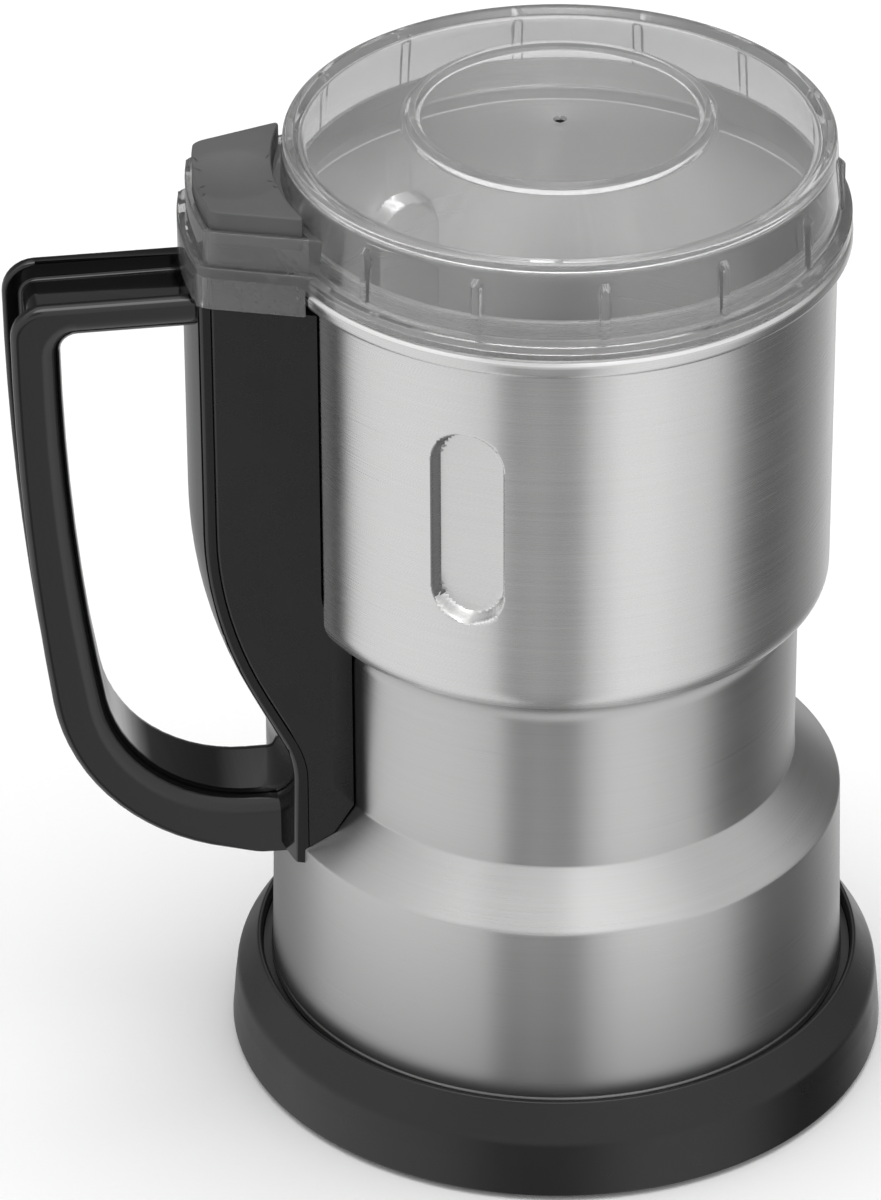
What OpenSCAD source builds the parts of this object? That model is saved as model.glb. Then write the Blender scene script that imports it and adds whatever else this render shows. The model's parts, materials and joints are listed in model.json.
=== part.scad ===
// Electric spice grinder: a motor base with a steel bowl, a clear lid whose ear
// carries the press button, and a handle on a hollow column along the side.
// Millimetres, +Z up. The origin is on the axis of the bowl, at floor level,
// and the handle points along -X.

/* [Base] */
// Height that the rubber foot holds the base ring off the floor
foot_lift = 0.8; // [0.5:0.1:1.2]
// Radius of the base ring at its lower edge
base_r = 61.5; // [60:0.5:66]
// Height of the base ring
base_h = 19.2; // [18:0.2:22]
// Wall of the base ring
base_wall = 2.2; // [1.8:0.1:3]
// Radius of the edge between the ring's top and the groove
ring_edge_r = 55.6; // [55:0.1:57]
// Width of the rubber ring that the grinder stands on
foot_w = 5; // [4:0.5:6]

/* [Housing] */
// Radius of the steel housing at its foot
housing_foot_r = 53.9; // [53.3:0.1:54.2]
// Radius of the housing under its cone
shoulder_r = 52.8; // [52:0.1:53.2]
// Height of the lower cylinder of the housing
skirt_h = 37.2; // [34:0.2:42]
// Height of the cone
cone_h = 8.9; // [7:0.1:10]
// Radius of the neck above the cone
neck_r = 44.1; // [43:0.1:45]
// Height of the neck
neck_h = 33.9; // [33:0.1:38]
// Sheet of the housing and of the bowl
sheet = 1; // [0.8:0.1:1.2]

/* [Bowl] */
// Radius of the bowl
bowl_r = 49.6; // [49:0.1:51]
// Height from the bowl's underside to the middle of its bead
bead_h = 73; // [70:0.5:80]
// Radius of the bowl's lower corner
corner_r = 11.5; // [10:0.5:13]
// How far the bead stands out from the bowl
bead_out = 2.6; // [1.5:0.1:3]
// Radius of the rim above the bead
rim_r = 47.8; // [47:0.1:48.2]
// Depth of the pressed-in dimples
dimple_depth = 3; // [1.5:0.25:4]
// Width of a dimple
dimple_w = 14; // [8:1:18]
// Length of a dimple
dimple_l = 39; // [30:1:44]
// Angle from the handle to the dimple on either side of it
dimple_turn = 62; // [55:1:75]

/* [Lid] */
// Radius of the lid's upper rim
lid_r = 49; // [48.6:0.1:49.8]
// Height from the lid's foot flange to its rim
lid_h = 17.1; // [16:0.1:20]
// Radius of the foot flange
flange_r = 52; // [51.5:0.1:53]
// Wall of the clear lid
lid_wall = 1.6; // [1.4:0.1:1.8]
// Radius of the ring on the raised middle
ring_r = 26.2; // [22:0.2:30]
// How far the middle stands above the rim
crown_h = 3.9; // [2.5:0.1:5]
// Number of places for grip ribs round the skirt
rib_places = 14; // [10:2:18]

/* [Handle] */
// Radius of the column's outer face beside the bowl
column_r = 67.3; // [66.5:0.1:68]
// Half width of the column near its outer face
column_half = 12.5; // [11.5:0.25:13.5]
// Reach of the handle from the axis
grip_reach = 99.1; // [96:0.5:106]
// Width of the handle
grip_w = 20.5; // [18:0.5:22]
// Height of the handle's top bar
bar_h = 6.6; // [6:0.2:9]
// Depth of the channel along the handle's outer face
channel_depth = 3.4; // [2:0.2:4]

/* [Switch] */
// Travel of the press button
press_travel = 3.5; // [2.5:0.25:4]
// Travel of the switch plunger
plunger_travel = 1; // [0.6:0.1:1.2]
// Radius of the push rod
rod_r = 2.3; // [1.8:0.1:2.6]

/* [Motor] */
// Radius of the motor shaft
shaft_r = 3; // [2.5:0.1:3.2]
// Radius of the stator
stator_r = 30; // [27:0.5:31]
// Length of the stator
stator_h = 26; // [22:1:28]
// Radius of the armature
armature_r = 15; // [13:0.5:16]
// Reach of a blade from the axis
blade_reach = 37; // [30:1:41]

/* [Hidden] */

$fn = 96;

// Common clearances and small amounts
eps = 0.01;
big = 300;
run_gap = 0.3;       // between pieces that move past each other
fit_gap = 0.15;      // between curved pieces that are screwed together
shaft_gap = 0.05;    // between the shaft and what it turns in
arc_n = 7;           // steps along a rounded corner

// Heights, from the floor up
ring_z0 = foot_lift;
ring_z1 = ring_z0 + base_h;
groove_depth = 4;
shelf_z = ring_z1 - groove_depth;
shoulder_z = shelf_z + skirt_h;
neck_z = shoulder_z + cone_h;
neck_z1 = neck_z + neck_h;
gasket_h = 1.1;
bowl_z0 = neck_z1 + gasket_h;
floor_z = bowl_z0 + sheet;
bead_z = bowl_z0 + bead_h;
bead_half = 1.9;
rim_h = 7.6;
rim_z = bead_z + rim_h;
lid_z0 = bead_z + bead_half + run_gap;
lid_z1 = lid_z0 + lid_h;

// An arc of points round cx, cz
function arc(cx, cz, r, a0, a1, n = arc_n) =
    [for (i = [0:n]) [cx + r * cos(a0 + (a1 - a0) * i / n), cz + r * sin(a0 + (a1 - a0) * i / n)]];

// A ring about the axis
module ring(r0, r1, z0, z1) {
    translate([0, 0, z0])
        difference() {
            cylinder(r = r1, h = z1 - z0);
            translate([0, 0, -eps])
                cylinder(r = r0, h = z1 - z0 + 2 * eps);
        }
}

module disc(r, z0, z1) {
    translate([0, 0, z0])
        cylinder(r = r, h = z1 - z0);
}

// Places its children n times round the axis, at radius r
module around(n, r, start = 0) {
    for (i = [0:n - 1])
        rotate([0, 0, start + i * 360 / n])
            translate([r, 0, 0])
                children();
}

// A flat plan shape like a slot with round ends, length along Y
module slot_2d(w, l) {
    square([w, l - w], center = true);
    for (s = [-1, 1])
        translate([0, s * (l - w) / 2])
            circle(d = w);
}

// A panhead screw, head down at z = 0, shank up
module screw(head_r, head_h, shank_r, shank_l) {
    cylinder(r = head_r, h = head_h, $fn = 32);
    translate([0, 0, head_h - eps])
        cylinder(r = shank_r, h = shank_l + eps, $fn = 24);
}

// ---------------------------------------------------------------- base

cover_h = 2.4;
cover_z0 = ring_z0 + 0.6;
cover_z1 = cover_z0 + cover_h;
cover_r = base_r - base_wall - 0.7;
boss_pitch_r = 46;
boss_r = 4;
boss_start = 45;
screw_r = 1.5;
screw_head_r = 3;
screw_head_h = 1.2;
foot_mid_r = base_r - 7.5;
foot_stem_start = 22.5;
foot_stem_r = 2.2;
shelf_h = 2.2;
spigot_gap = 0.4;
spigot_r = housing_foot_r - sheet - spigot_gap;
spigot_wall = 1.8;
spigot_h = 8;
groove_wall = 1.6;
web_r = base_r - base_wall - 0.8;
tie_n = 3;
tie_start = 0;
tie_pitch_r = 37.5;
tie_r = 2;
tie_head_r = 3.6;
tie_head_h = 2.6;
tie_pad_r = 6.5;
gland_z = ring_z0 + 8;
gland_r = 4.2;
cord_r = 3.1;
gland_flange = 0.7;
gland_l = 4.9;
gland_y1 = base_r - 1;
gland_y0 = gland_y1 - gland_l;

// Outside of the base ring, drawn in by t
function ring_outside(t) = concat(
    [[base_r - t, ring_z0]],
    [[base_r - 0.6 - t, ring_z0 + 7]],
    arc(base_r - 5.5, ring_z0 + 9.2, 5 - t, 3, 52),
    [[ring_edge_r, ring_z1 - t]]);

module base_ring() {
    color([0.16, 0.16, 0.17])
        difference() {
            union() {
                rotate_extrude()
                    difference() {
                        polygon(concat([[ring_edge_r, ring_z0]], ring_outside(0)));
                        polygon(concat([[0, ring_z0 - eps], [base_r - base_wall, ring_z0 - eps]],
                                       ring_outside(base_wall), [[0, ring_z1 - base_wall]]));
                    }
                ring(spigot_r - spigot_wall, ring_edge_r + groove_wall, shelf_z - shelf_h, shelf_z);
                ring(spigot_r - spigot_wall, spigot_r, shelf_z - eps, shelf_z + spigot_h);
                ring(ring_edge_r, ring_edge_r + groove_wall, shelf_z - eps, ring_z1 - base_wall - 1);
                around(4, boss_pitch_r, boss_start) {
                    disc(boss_r, cover_z1, shelf_z - shelf_h);
                    translate([boss_r - 1, -base_wall / 2, cover_z1])
                        cube([web_r - boss_pitch_r - boss_r + 1, base_wall, shelf_z - shelf_h - cover_z1 + eps]);
                }
                around(tie_n, tie_pitch_r, tie_start) {
                    disc(tie_pad_r, shelf_z - shelf_h, shelf_z);
                    translate([0, -tie_pad_r, shelf_z - shelf_h])
                        cube([spigot_r - spigot_wall - tie_pitch_r + 1, 2 * tie_pad_r, shelf_h]);
                }
            }
            around(4, boss_pitch_r, boss_start)
                disc(screw_r, cover_z1 - eps, shelf_z - shelf_h - 1);
            around(tie_n, tie_pitch_r, tie_start)
                disc(tie_r + fit_gap, shelf_z - shelf_h - eps, shelf_z + eps);
            translate([0, gland_y0, gland_z])
                rotate([-90, 0, 0])
                    cylinder(r = gland_r, h = big);
        }
}

vent_n = 10;
vent_w = 2;
vent_l = 16;

module bottom_cover() {
    color([0.13, 0.13, 0.14])
        difference() {
            disc(cover_r, cover_z0, cover_z1);
            around(4, boss_pitch_r, boss_start) {
                disc(screw_r + fit_gap, cover_z0 - eps, cover_z1 + eps);
                disc(screw_head_r + fit_gap, cover_z0 - eps, cover_z0 + screw_head_h);
            }
            around(4, foot_mid_r, foot_stem_start)
                disc(foot_stem_r, cover_z0 - eps, cover_z1 + eps);
            for (k = [-(vent_n - 1) / 2:(vent_n - 1) / 2])
                for (s = [-1, 1])
                    translate([k * 2 * vent_w, s * (vent_l / 2 + 2.5), cover_z0 - eps])
                        linear_extrude(cover_h + 2 * eps)
                            slot_2d(vent_w, vent_l);
        }
}

module rubber_foot() {
    color([0.08, 0.08, 0.08]) {
        ring(foot_mid_r - foot_w / 2, foot_mid_r + foot_w / 2, 0, cover_z0);
        around(4, foot_mid_r, foot_stem_start) {
            disc(foot_stem_r - shaft_gap, cover_z0 - eps, cover_z1 + eps);
            disc(foot_stem_r + 0.5, cover_z1, cover_z1 + 1);
        }
    }
}

module bottom_screws() {
    color([0.6, 0.6, 0.62])
        around(4, boss_pitch_r, boss_start)
            translate([0, 0, cover_z0 + fit_gap])
                difference() {
                    screw(screw_head_r, screw_head_h - fit_gap, screw_r - fit_gap, 7);
                    for (a = [0, 90])
                        rotate([0, 0, a])
                            cube([screw_head_r, 0.6, 1], center = true);
                }
}

module cord_gland() {
    color([0.07, 0.07, 0.07])
        difference() {
            translate([0, gland_y0, gland_z])
                rotate([-90, 0, 0]) {
                    cylinder(r = gland_r - shaft_gap, h = gland_y1 - gland_y0);
                    cylinder(r = gland_r + gland_flange, h = 1.2);
                }
            translate([0, gland_y0 - 1, gland_z])
                rotate([-90, 0, 0])
                    cylinder(r = cord_r, h = big);
        }
}

// ------------------------------------------------------------- housing

bend_r = 2;
neck_top_r = 3;
bend45 = 0.414;
flange_in_r = 37;

// Outside of the steel housing, drawn in by t
function housing_side(t) = concat(
    [[housing_foot_r - t, shelf_z]],
    arc(shoulder_r - bend_r, shoulder_z - bend_r * bend45, bend_r - t, 0, 44, 4),
    [[neck_r - t, neck_z - bend45 * t]],
    arc(neck_r - neck_top_r, neck_z1 - neck_top_r, neck_top_r - t, 0, 90, 5));

screw_hole_z = [neck_z + 8, neck_z + 19];
handle_screw_r = 1.5;

module motor_housing() {
    color([0.72, 0.72, 0.72])
        difference() {
            rotate_extrude()
                difference() {
                    polygon(concat(housing_side(0), [[0, neck_z1], [0, shelf_z]]));
                    polygon(concat([[housing_foot_r - sheet, shelf_z - eps]], housing_side(sheet),
                                   [[0, neck_z1 - sheet], [0, shelf_z - eps]]));
                    square([flange_in_r, big]);
                }
            for (z = screw_hole_z)
                translate([0, 0, z])
                    rotate([0, -90, 0])
                        cylinder(r = handle_screw_r + fit_gap, h = big, $fn = 24);
        }
}

carrier_h = 6;
carrier_z0 = neck_z1 - sheet - carrier_h;
carrier_r = neck_r - neck_top_r - fit_gap;
tie_boss_r = 4.6;
tie_boss_h = 12;
bowl_screw_n = 3;
bowl_screw_pitch = 16;
bowl_screw_r = 2;
bowl_screw_start = 30;
hub_r = 7;
hub_top = floor_z + 4;
iso_n = 3;
iso_start = 60;
iso_pitch_r = 33;
iso_r = 4.5;
iso_h = 4;
iso_z0 = carrier_z0 - iso_h;
iso_screw_r = 1.5;

module tie_screws() {
    color([0.55, 0.55, 0.57])
        around(tie_n, tie_pitch_r, tie_start)
            translate([0, 0, shelf_z - shelf_h - tie_head_h])
                screw(tie_head_r, tie_head_h, tie_r, carrier_z0 - tie_boss_h + 9 - shelf_z + shelf_h);
}

module bowl_carrier() {
    color([0.2, 0.2, 0.21])
        difference() {
            union() {
                disc(carrier_r, carrier_z0, neck_z1 - sheet);
                disc(flange_in_r - fit_gap, neck_z1 - sheet - eps, bowl_z0);
                disc(hub_r, bowl_z0 - eps, hub_top);
                around(tie_n, tie_pitch_r, tie_start)
                    disc(tie_boss_r, carrier_z0 - tie_boss_h, carrier_z0 + eps);
            }
            disc(shaft_r + run_gap, carrier_z0 - 1, hub_top + 1);
            disc(shaft_r + 4, carrier_z0 - 1, carrier_z0 + 2);
            around(tie_n, tie_pitch_r, tie_start)
                disc(tie_r, carrier_z0 - tie_boss_h - eps, carrier_z0 + 2);
            around(bowl_screw_n, bowl_screw_pitch, bowl_screw_start)
                disc(bowl_screw_r, carrier_z0 + 1, bowl_z0 + eps);
            around(iso_n, iso_pitch_r, iso_start)
                disc(iso_screw_r, carrier_z0 - eps, carrier_z0 + 5);
        }
}

gasket_r = 41;

module bowl_gasket() {
    color([0.1, 0.1, 0.1])
        ring(flange_in_r, gasket_r, neck_z1, bowl_z0);
}

// ---------------------------------------------------------------- bowl

dimple_turns = [0, 180 - dimple_turn, 180 + dimple_turn];
dimple_z = bowl_z0 + 38;
bead_r = bowl_r + bead_out;
rim_ease = 0.6;

// Outside of the bowl, drawn in by t
function bowl_side(t) = concat(
    [[0, bowl_z0 + t], [38, bowl_z0 + t]],
    arc(bowl_r - corner_r, bowl_z0 + corner_r, corner_r - t, -86, 0, 8),
    [[bowl_r - t, bead_z - bead_half - 0.7]],
    arc(bowl_r - 0.2, bead_z, bead_half + 0.2 - t, -75, -60, 1),
    arc(bowl_r + bead_out - bead_half, bead_z, bead_half - t, -50, 90, 6),
    [[rim_r + rim_ease - t, bead_z + bead_half - t]],
    [[rim_r - t, bead_z + bead_half + rim_ease - t]],
    [[rim_r - t, rim_z]]);

module dimples(w, l, r) {
    for (a = dimple_turns)
        rotate([0, 0, a])
            translate([r, 0, dimple_z])
                rotate([90, 0, 90])
                    linear_extrude(20)
                        slot_2d(w, l);
}

module bowl_shell() {
    rotate_extrude()
        difference() {
            polygon(concat(bowl_side(0), [[0, rim_z]]));
            translate([0, eps])
                polygon(concat(bowl_side(sheet), [[0, rim_z]]));
        }
}

module bowl_solid() {
    rotate_extrude()
        polygon(concat(bowl_side(sheet / 2), [[0, rim_z]]));
}

module grinding_bowl() {
    color([0.75, 0.75, 0.76])
        difference() {
            union() {
                bowl_shell();
                intersection() {
                    bowl_solid();
                    dimples(dimple_w + 2 * sheet, dimple_l + 2 * sheet,
                            bowl_r - dimple_depth - sheet);
                }
            }
            dimples(dimple_w, dimple_l, bowl_r - dimple_depth);
            disc(hub_r + fit_gap, bowl_z0 - 1, floor_z + 1);
            around(bowl_screw_n, bowl_screw_pitch, bowl_screw_start)
                disc(bowl_screw_r + fit_gap, bowl_z0 - 1, floor_z + 1);
        }
}

bowl_screw_head_h = 2.2;

module bowl_screws() {
    color([0.7, 0.7, 0.7])
        around(bowl_screw_n, bowl_screw_pitch, bowl_screw_start)
            translate([0, 0, floor_z + eps + bowl_screw_head_h])
                mirror([0, 0, 1])
                    difference() {
                        screw(3.5, bowl_screw_head_h, bowl_screw_r, 5);
                        for (a = [0, 90])
                            rotate([0, 0, a])
                                cube([4, 0.8, 2], center = true);
                    }
}

seal_h = 2.6;

module shaft_seal() {
    color([0.12, 0.12, 0.12])
        difference() {
            union() {
                disc(hub_r - 0.8, hub_top, hub_top + seal_h);
                ring(hub_r, hub_r + 1.4, floor_z + 2 * eps, hub_top - 0.5);
                ring(hub_r - 0.8 - eps, hub_r + 1.4, hub_top, hub_top + 0.8);
                ring(hub_r, hub_r + 1.4, hub_top - 0.5 - eps, hub_top + eps);
            }
            disc(shaft_r + shaft_gap, hub_top - 1, hub_top + seal_h + 1);
        }
}

// --------------------------------------------------------------- motor

bracket_t = 3;
upper_plate_z = iso_z0 - bracket_t;
bearing_r = 9.5;
bearing_h = 6;
bearing_lip = 1;
hub_wall = 2.5;
stator_z1 = upper_plate_z - 12;
stator_z0 = stator_z1 - stator_h;
stator_bore = armature_r + 0.6;
bolt_pitch_r = stator_r - 4.5;
bolt_r = 1.6;
leg_w = 9;
lower_drop = 20;
lower_plate_z = stator_z0 - lower_drop - bracket_t;
coil_over = 5.5;

module bearing_at(z) {
    color([0.7, 0.7, 0.72])
        difference() {
            disc(bearing_r, z, z + bearing_h);
            disc(shaft_r + shaft_gap, z - 1, z + bearing_h + 1);
            ring(shaft_r + 1.8, bearing_r - 1.6, z - 1, z + 0.6);
            ring(shaft_r + 1.8, bearing_r - 1.6, z + bearing_h - 0.6, z + bearing_h + 1);
        }
}

upper_bearing_z = iso_z0 - bearing_lip - bearing_h;
lower_bearing_z = lower_plate_z - 1;

module upper_bearing() {
    bearing_at(upper_bearing_z);
}

module lower_bearing() {
    bearing_at(lower_bearing_z);
}

module upper_bracket() {
    color([0.62, 0.63, 0.64])
        difference() {
            union() {
                disc(bearing_r + hub_wall, upper_bearing_z, iso_z0);
                for (i = [0:iso_n - 1])
                    rotate([0, 0, iso_start + i * 360 / iso_n]) {
                        translate([0, -leg_w / 2, upper_plate_z])
                            cube([iso_pitch_r, leg_w, bracket_t]);
                        translate([iso_pitch_r, 0, 0])
                            disc(iso_r, upper_plate_z, iso_z0);
                    }
                around(2, bolt_pitch_r, 90) {
                    translate([-bolt_pitch_r, -leg_w / 2, upper_plate_z])
                        cube([bolt_pitch_r, leg_w, bracket_t]);
                    disc(leg_w / 2, stator_z1, iso_z0);
                }
            }
            disc(bearing_r, upper_bearing_z - 1, upper_bearing_z + bearing_h);
            disc(shaft_r + 2, upper_bearing_z - 1, iso_z0 + 1);
            around(iso_n, iso_pitch_r, iso_start)
                disc(iso_screw_r + fit_gap, upper_plate_z - 1, iso_z0 + 1);
            around(2, bolt_pitch_r, 90)
                disc(bolt_r, stator_z1 - 1, iso_z0 - 1);
        }
}

holder_z = stator_z0 - 10.5;
holder_w = 7;
holder_h = 8;
commutator_r = 9;
brush_w = 5;
brush_h = 6;
holder_in = commutator_r + 1;
holder_out = stator_r - 2;

module lower_bracket() {
    color([0.3, 0.3, 0.31])
        difference() {
            union() {
                disc(bearing_r + hub_wall, lower_bearing_z, lower_bearing_z + bearing_h + bearing_lip);
                for (a = [0, 180])
                    rotate([0, 0, a]) {
                        translate([0, -leg_w / 2, lower_plate_z])
                            cube([stator_r - 1, leg_w, bracket_t]);
                        translate([stator_r - 1 - 6, -leg_w / 2 - 1, lower_plate_z])
                            cube([6, leg_w + 2, stator_z0 - lower_plate_z]);
                    }
                around(2, bolt_pitch_r, 90) {
                    translate([-bolt_pitch_r, -leg_w / 2, lower_plate_z])
                        cube([bolt_pitch_r, leg_w, bracket_t]);
                    disc(leg_w / 2, lower_plate_z, stator_z0);
                }
            }
            disc(bearing_r, lower_bearing_z - 1, lower_bearing_z + bearing_h);
            disc(shaft_r + 2, lower_bearing_z - 1, stator_z0);
            around(2, bolt_pitch_r, 90)
                disc(bolt_r + fit_gap, lower_plate_z - 1, stator_z0 + 1);
            for (a = [0, 180])
                rotate([0, 0, a])
                    translate([holder_in + 4, -holder_w / 2 - 0.05, holder_z - holder_h / 2 - 0.05])
                        cube([big, holder_w + 0.1, holder_h + 0.1]);
        }
}

module bracket_bolts() {
    color([0.6, 0.6, 0.62])
        around(2, bolt_pitch_r, 90)
            translate([0, 0, lower_plate_z - 2.5])
                screw(3.2, 2.5, bolt_r, upper_plate_z - 2 - lower_plate_z);
}

module isolators() {
    color([0.1, 0.1, 0.1])
        around(iso_n, iso_pitch_r, iso_start)
            ring(iso_screw_r + fit_gap, iso_r, iso_z0, carrier_z0);
}

module isolator_screws() {
    color([0.6, 0.6, 0.62])
        around(iso_n, iso_pitch_r, iso_start)
            translate([0, 0, upper_plate_z - 2])
                screw(3, 2, iso_screw_r, bracket_t + iso_h + 4);
}

pole_half = 10;

module stator_core() {
    color([0.45, 0.45, 0.47])
        difference() {
            disc(stator_r, stator_z0, stator_z1);
            disc(stator_bore, stator_z0 - 1, stator_z1 + 1);
            for (s = [-1, 1])
                for (m = [-1, 1])
                    translate([s * coil_x, m * coil_y, 0])
                        disc(coil_r + 0.7, stator_z0 - 1, stator_z1 + 1);
            around(2, bolt_pitch_r, 90)
                disc(bolt_r + fit_gap, stator_z0 - 1, stator_z1 + 1);
        }
}

coil_r = 3.8;
coil_x = stator_bore;
coil_y = pole_half + 3;
coil_out = 2.2;

module field_coils() {
    color([0.6, 0.35, 0.15])
        for (s = [-1, 1]) {
            for (m = [-1, 1])
                translate([s * coil_x, m * coil_y, stator_z0 - coil_over + coil_r])
                    cylinder(r = coil_r, h = stator_h + 2 * (coil_over - coil_r), $fn = 48);
            for (z = [stator_z0 - coil_over + coil_r, stator_z1 + coil_over - coil_r])
                intersection() {
                    translate([s * (coil_x + coil_out), coil_y, z])
                        rotate([90, 0, 0])
                            cylinder(r = coil_r, h = 2 * coil_y, $fn = 48);
                    union() {
                        translate([-big / 2, -big / 2, stator_z0 - coil_over - 1])
                            cube([big, big, coil_over + 1 - fit_gap]);
                        translate([-big / 2, -big / 2, stator_z1 + fit_gap])
                            cube([big, big, coil_over + 1]);
                    }
                }
        }
}

shaft_z0 = cover_z1 + 3;
spacer_h = 2.4;
spacer_r = 6;
blade_t = 1.5;
washer_h = 1;
nut_h = 5;
blade_z = hub_top + seal_h + run_gap + spacer_h;
stack_top = blade_z + 2 * blade_t + washer_h + nut_h;
shaft_z1 = stack_top + 1.5;

module motor_shaft() {
    color([0.7, 0.7, 0.72])
        difference() {
            disc(shaft_r, shaft_z0, shaft_z1);
            translate([0, 0, shaft_z1])
                cube([2 * shaft_r, 0.8, 1.4], center = true);
        }
}

slot_n = 12;

module armature_core() {
    color([0.4, 0.4, 0.42])
        difference() {
            disc(armature_r, stator_z0, stator_z1);
            disc(shaft_r, stator_z0 - 1, stator_z1 + 1);
            around(slot_n, armature_r)
                translate([-2.2, -0.7, stator_z0 - 1])
                    cube([4.4, 1.4, stator_h + 2]);
        }
}

winding_h = 5;

module armature_windings() {
    color([0.65, 0.38, 0.17])
        for (z = [stator_z0 - winding_h, stator_z1])
            rotate_extrude()
                difference() {
                    translate([shaft_r + eps, z])
                        square([armature_r - 4.5, winding_h]);
                    translate([armature_r - 1.5 + 0.6, z + (z < stator_z0 ? 0 : winding_h)])
                        circle(r = 1.6);
                }
}

commutator_h = 10;

module commutator() {
    color([0.7, 0.42, 0.2])
        difference() {
            disc(commutator_r, stator_z0 - winding_h - 0.5 - commutator_h, stator_z0 - winding_h - 0.5);
            disc(shaft_r, 0, stator_z0);
            around(slot_n, commutator_r)
                translate([-0.6, -0.25, stator_z0 - winding_h - 2 - commutator_h])
                    cube([1.2, 0.5, commutator_h]);
        }
}

fan_r = 26;
fan_h = 8;
fan_z = shaft_z0 + 1;
fan_n = 10;

module cooling_fan() {
    color([0.85, 0.85, 0.82])
        difference() {
            union() {
                disc(6, fan_z, fan_z + fan_h);
                disc(fan_r, fan_z, fan_z + 1.4);
                for (i = [0:fan_n - 1])
                    rotate([0, 0, i * 360 / fan_n])
                        translate([5, -0.6, fan_z + 1])
                            rotate([0, 0, 12])
                                cube([fan_r - 6.5, 1.2, fan_h - 1.5]);
            }
            disc(shaft_r, fan_z - 1, fan_z + fan_h + 1);
        }
}

module brush_holders() {
    color([0.8, 0.65, 0.3])
        for (a = [0, 180])
            rotate([0, 0, a])
                translate([holder_in, -holder_w / 2, holder_z - holder_h / 2])
                    difference() {
                        cube([holder_out - holder_in + 3, holder_w, holder_h]);
                        translate([-1, (holder_w - brush_w) / 2 - 0.05, (holder_h - brush_h) / 2 - 0.05])
                            cube([holder_out - holder_in + 3, brush_w + 0.1, brush_h + 0.1]);
                    }
}

brush_l = 9;

module carbon_brushes() {
    color([0.15, 0.15, 0.16])
        for (a = [0, 180])
            rotate([0, 0, a])
                translate([0, -brush_w / 2, holder_z - brush_h / 2])
                    difference() {
                        translate([commutator_r - 0.6, 0, 0])
                            cube([brush_l, brush_w, brush_h]);
                        translate([0, brush_w / 2, -1])
                            cylinder(r = commutator_r + fit_gap, h = brush_h + 2);
                    }
}

module brush_springs() {
    color([0.65, 0.65, 0.66])
        for (a = [0, 180])
            rotate([0, 0, a])
                translate([commutator_r - 0.6 + brush_l, 0, holder_z])
                    rotate([0, 90, 0])
                        difference() {
                            cylinder(r = 2.2, h = holder_out + 2 - commutator_r + 0.6 - brush_l, $fn = 32);
                            translate([0, 0, -1])
                                cylinder(r = 1.5, h = big, $fn = 32);
                        }
}

// -------------------------------------------------------------- blades

blade_w = 11;
blade_flat = 12;
tip_l = 6;
lower_drop_tip = 3.5;
upper_rise_tip = 9.5;

// A two-armed blade whose arms rise by rise at their tips
module blade(z, rise, turn) {
    rotate([0, 0, turn])
        difference() {
            intersection() {
                translate([0, blade_w / 2, z])
                    rotate([90, 0, 0])
                        linear_extrude(blade_w)
                            polygon([[-blade_reach, rise], [-blade_flat, 0], [blade_flat, 0],
                                     [blade_reach, rise], [blade_reach, rise + blade_t],
                                     [blade_flat, blade_t], [-blade_flat, blade_t],
                                     [-blade_reach, rise + blade_t]]);
                translate([0, 0, z - blade_reach])
                    linear_extrude(2 * blade_reach)
                        for (a = [0, 180])
                            rotate(a)
                                polygon([[-blade_flat / 2, -blade_w / 2],
                                         [blade_reach - tip_l, -blade_w / 2],
                                         [blade_reach, -blade_w / 5], [blade_reach, blade_w / 8],
                                         [blade_flat, blade_w / 2], [-blade_flat / 2, blade_w / 2]]);
            }
            disc(shaft_r, z - 1, z + blade_t + 1);
        }
}

module lower_blade() {
    color([0.82, 0.82, 0.83])
        blade(blade_z, -lower_drop_tip, 0);
}

module upper_blade() {
    color([0.82, 0.82, 0.83])
        blade(blade_z + blade_t, upper_rise_tip, 90);
}

module blade_spacer() {
    color([0.78, 0.78, 0.8])
        ring(shaft_r, spacer_r, blade_z - spacer_h, blade_z);
}

module blade_washer() {
    color([0.78, 0.78, 0.8])
        ring(shaft_r, spacer_r, blade_z + 2 * blade_t, blade_z + 2 * blade_t + washer_h);
}

nut_flats = 10;

module blade_nut() {
    color([0.78, 0.78, 0.8])
        difference() {
            translate([0, 0, stack_top - nut_h])
                cylinder(d = nut_flats / cos(30), h = nut_h, $fn = 6);
            disc(shaft_r, stack_top - nut_h - 1, stack_top + 1);
        }
}

// -------------------------------------------------------------- handle

flare = 0.336;
flare_e = 66;
column_z0 = shoulder_z - 2.9;
foot_out = 1.3;
column_foot_r = shoulder_r + foot_out;
column_wall = 1.8;
strip_t = 1.8;
lap_z = lid_z0 - 6;
spigot_top = lid_z0 - 0.8;
lap_in = 0.6;
web_t = 3;
lean = 25;
lean_r0 = 80;
lean_r1 = 18;
bend_top_z = bowl_z0 + 21.7;

// The part of space between the flared sides of the column,
// whose half width is half at the distance flare_e from the axis
module wedge(half, z0, z1) {
    far = 90;
    translate([0, 0, z0])
        linear_extrude(z1 - z0)
            polygon([[0, half + flare_e * flare], [-far, half - (far - flare_e) * flare],
                     [-far, -half + (far - flare_e) * flare], [0, -half - flare_e * flare]]);
}

// Outer face of the column from its foot up to z1, drawn in by t
function column_outside(t, z0, z1) =
    let (top_r = column_r - lean_r0 * (1 - cos(lean)),
         top_z = bend_top_z - lean_r0 * sin(lean),
         low_r = column_foot_r + lean_r1 * (1 - cos(lean)),
         low_z = top_z - (top_r - low_r) / tan(lean))
    concat([[column_foot_r - t, z0]],
           arc(column_foot_r + lean_r1, low_z - lean_r1 * sin(lean), lean_r1 + t, 180, 180 - lean, 4),
           arc(column_r - lean_r0, bend_top_z, lean_r0 - t, -lean, 0, 5),
           [[column_r - t, z1]]);

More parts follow.
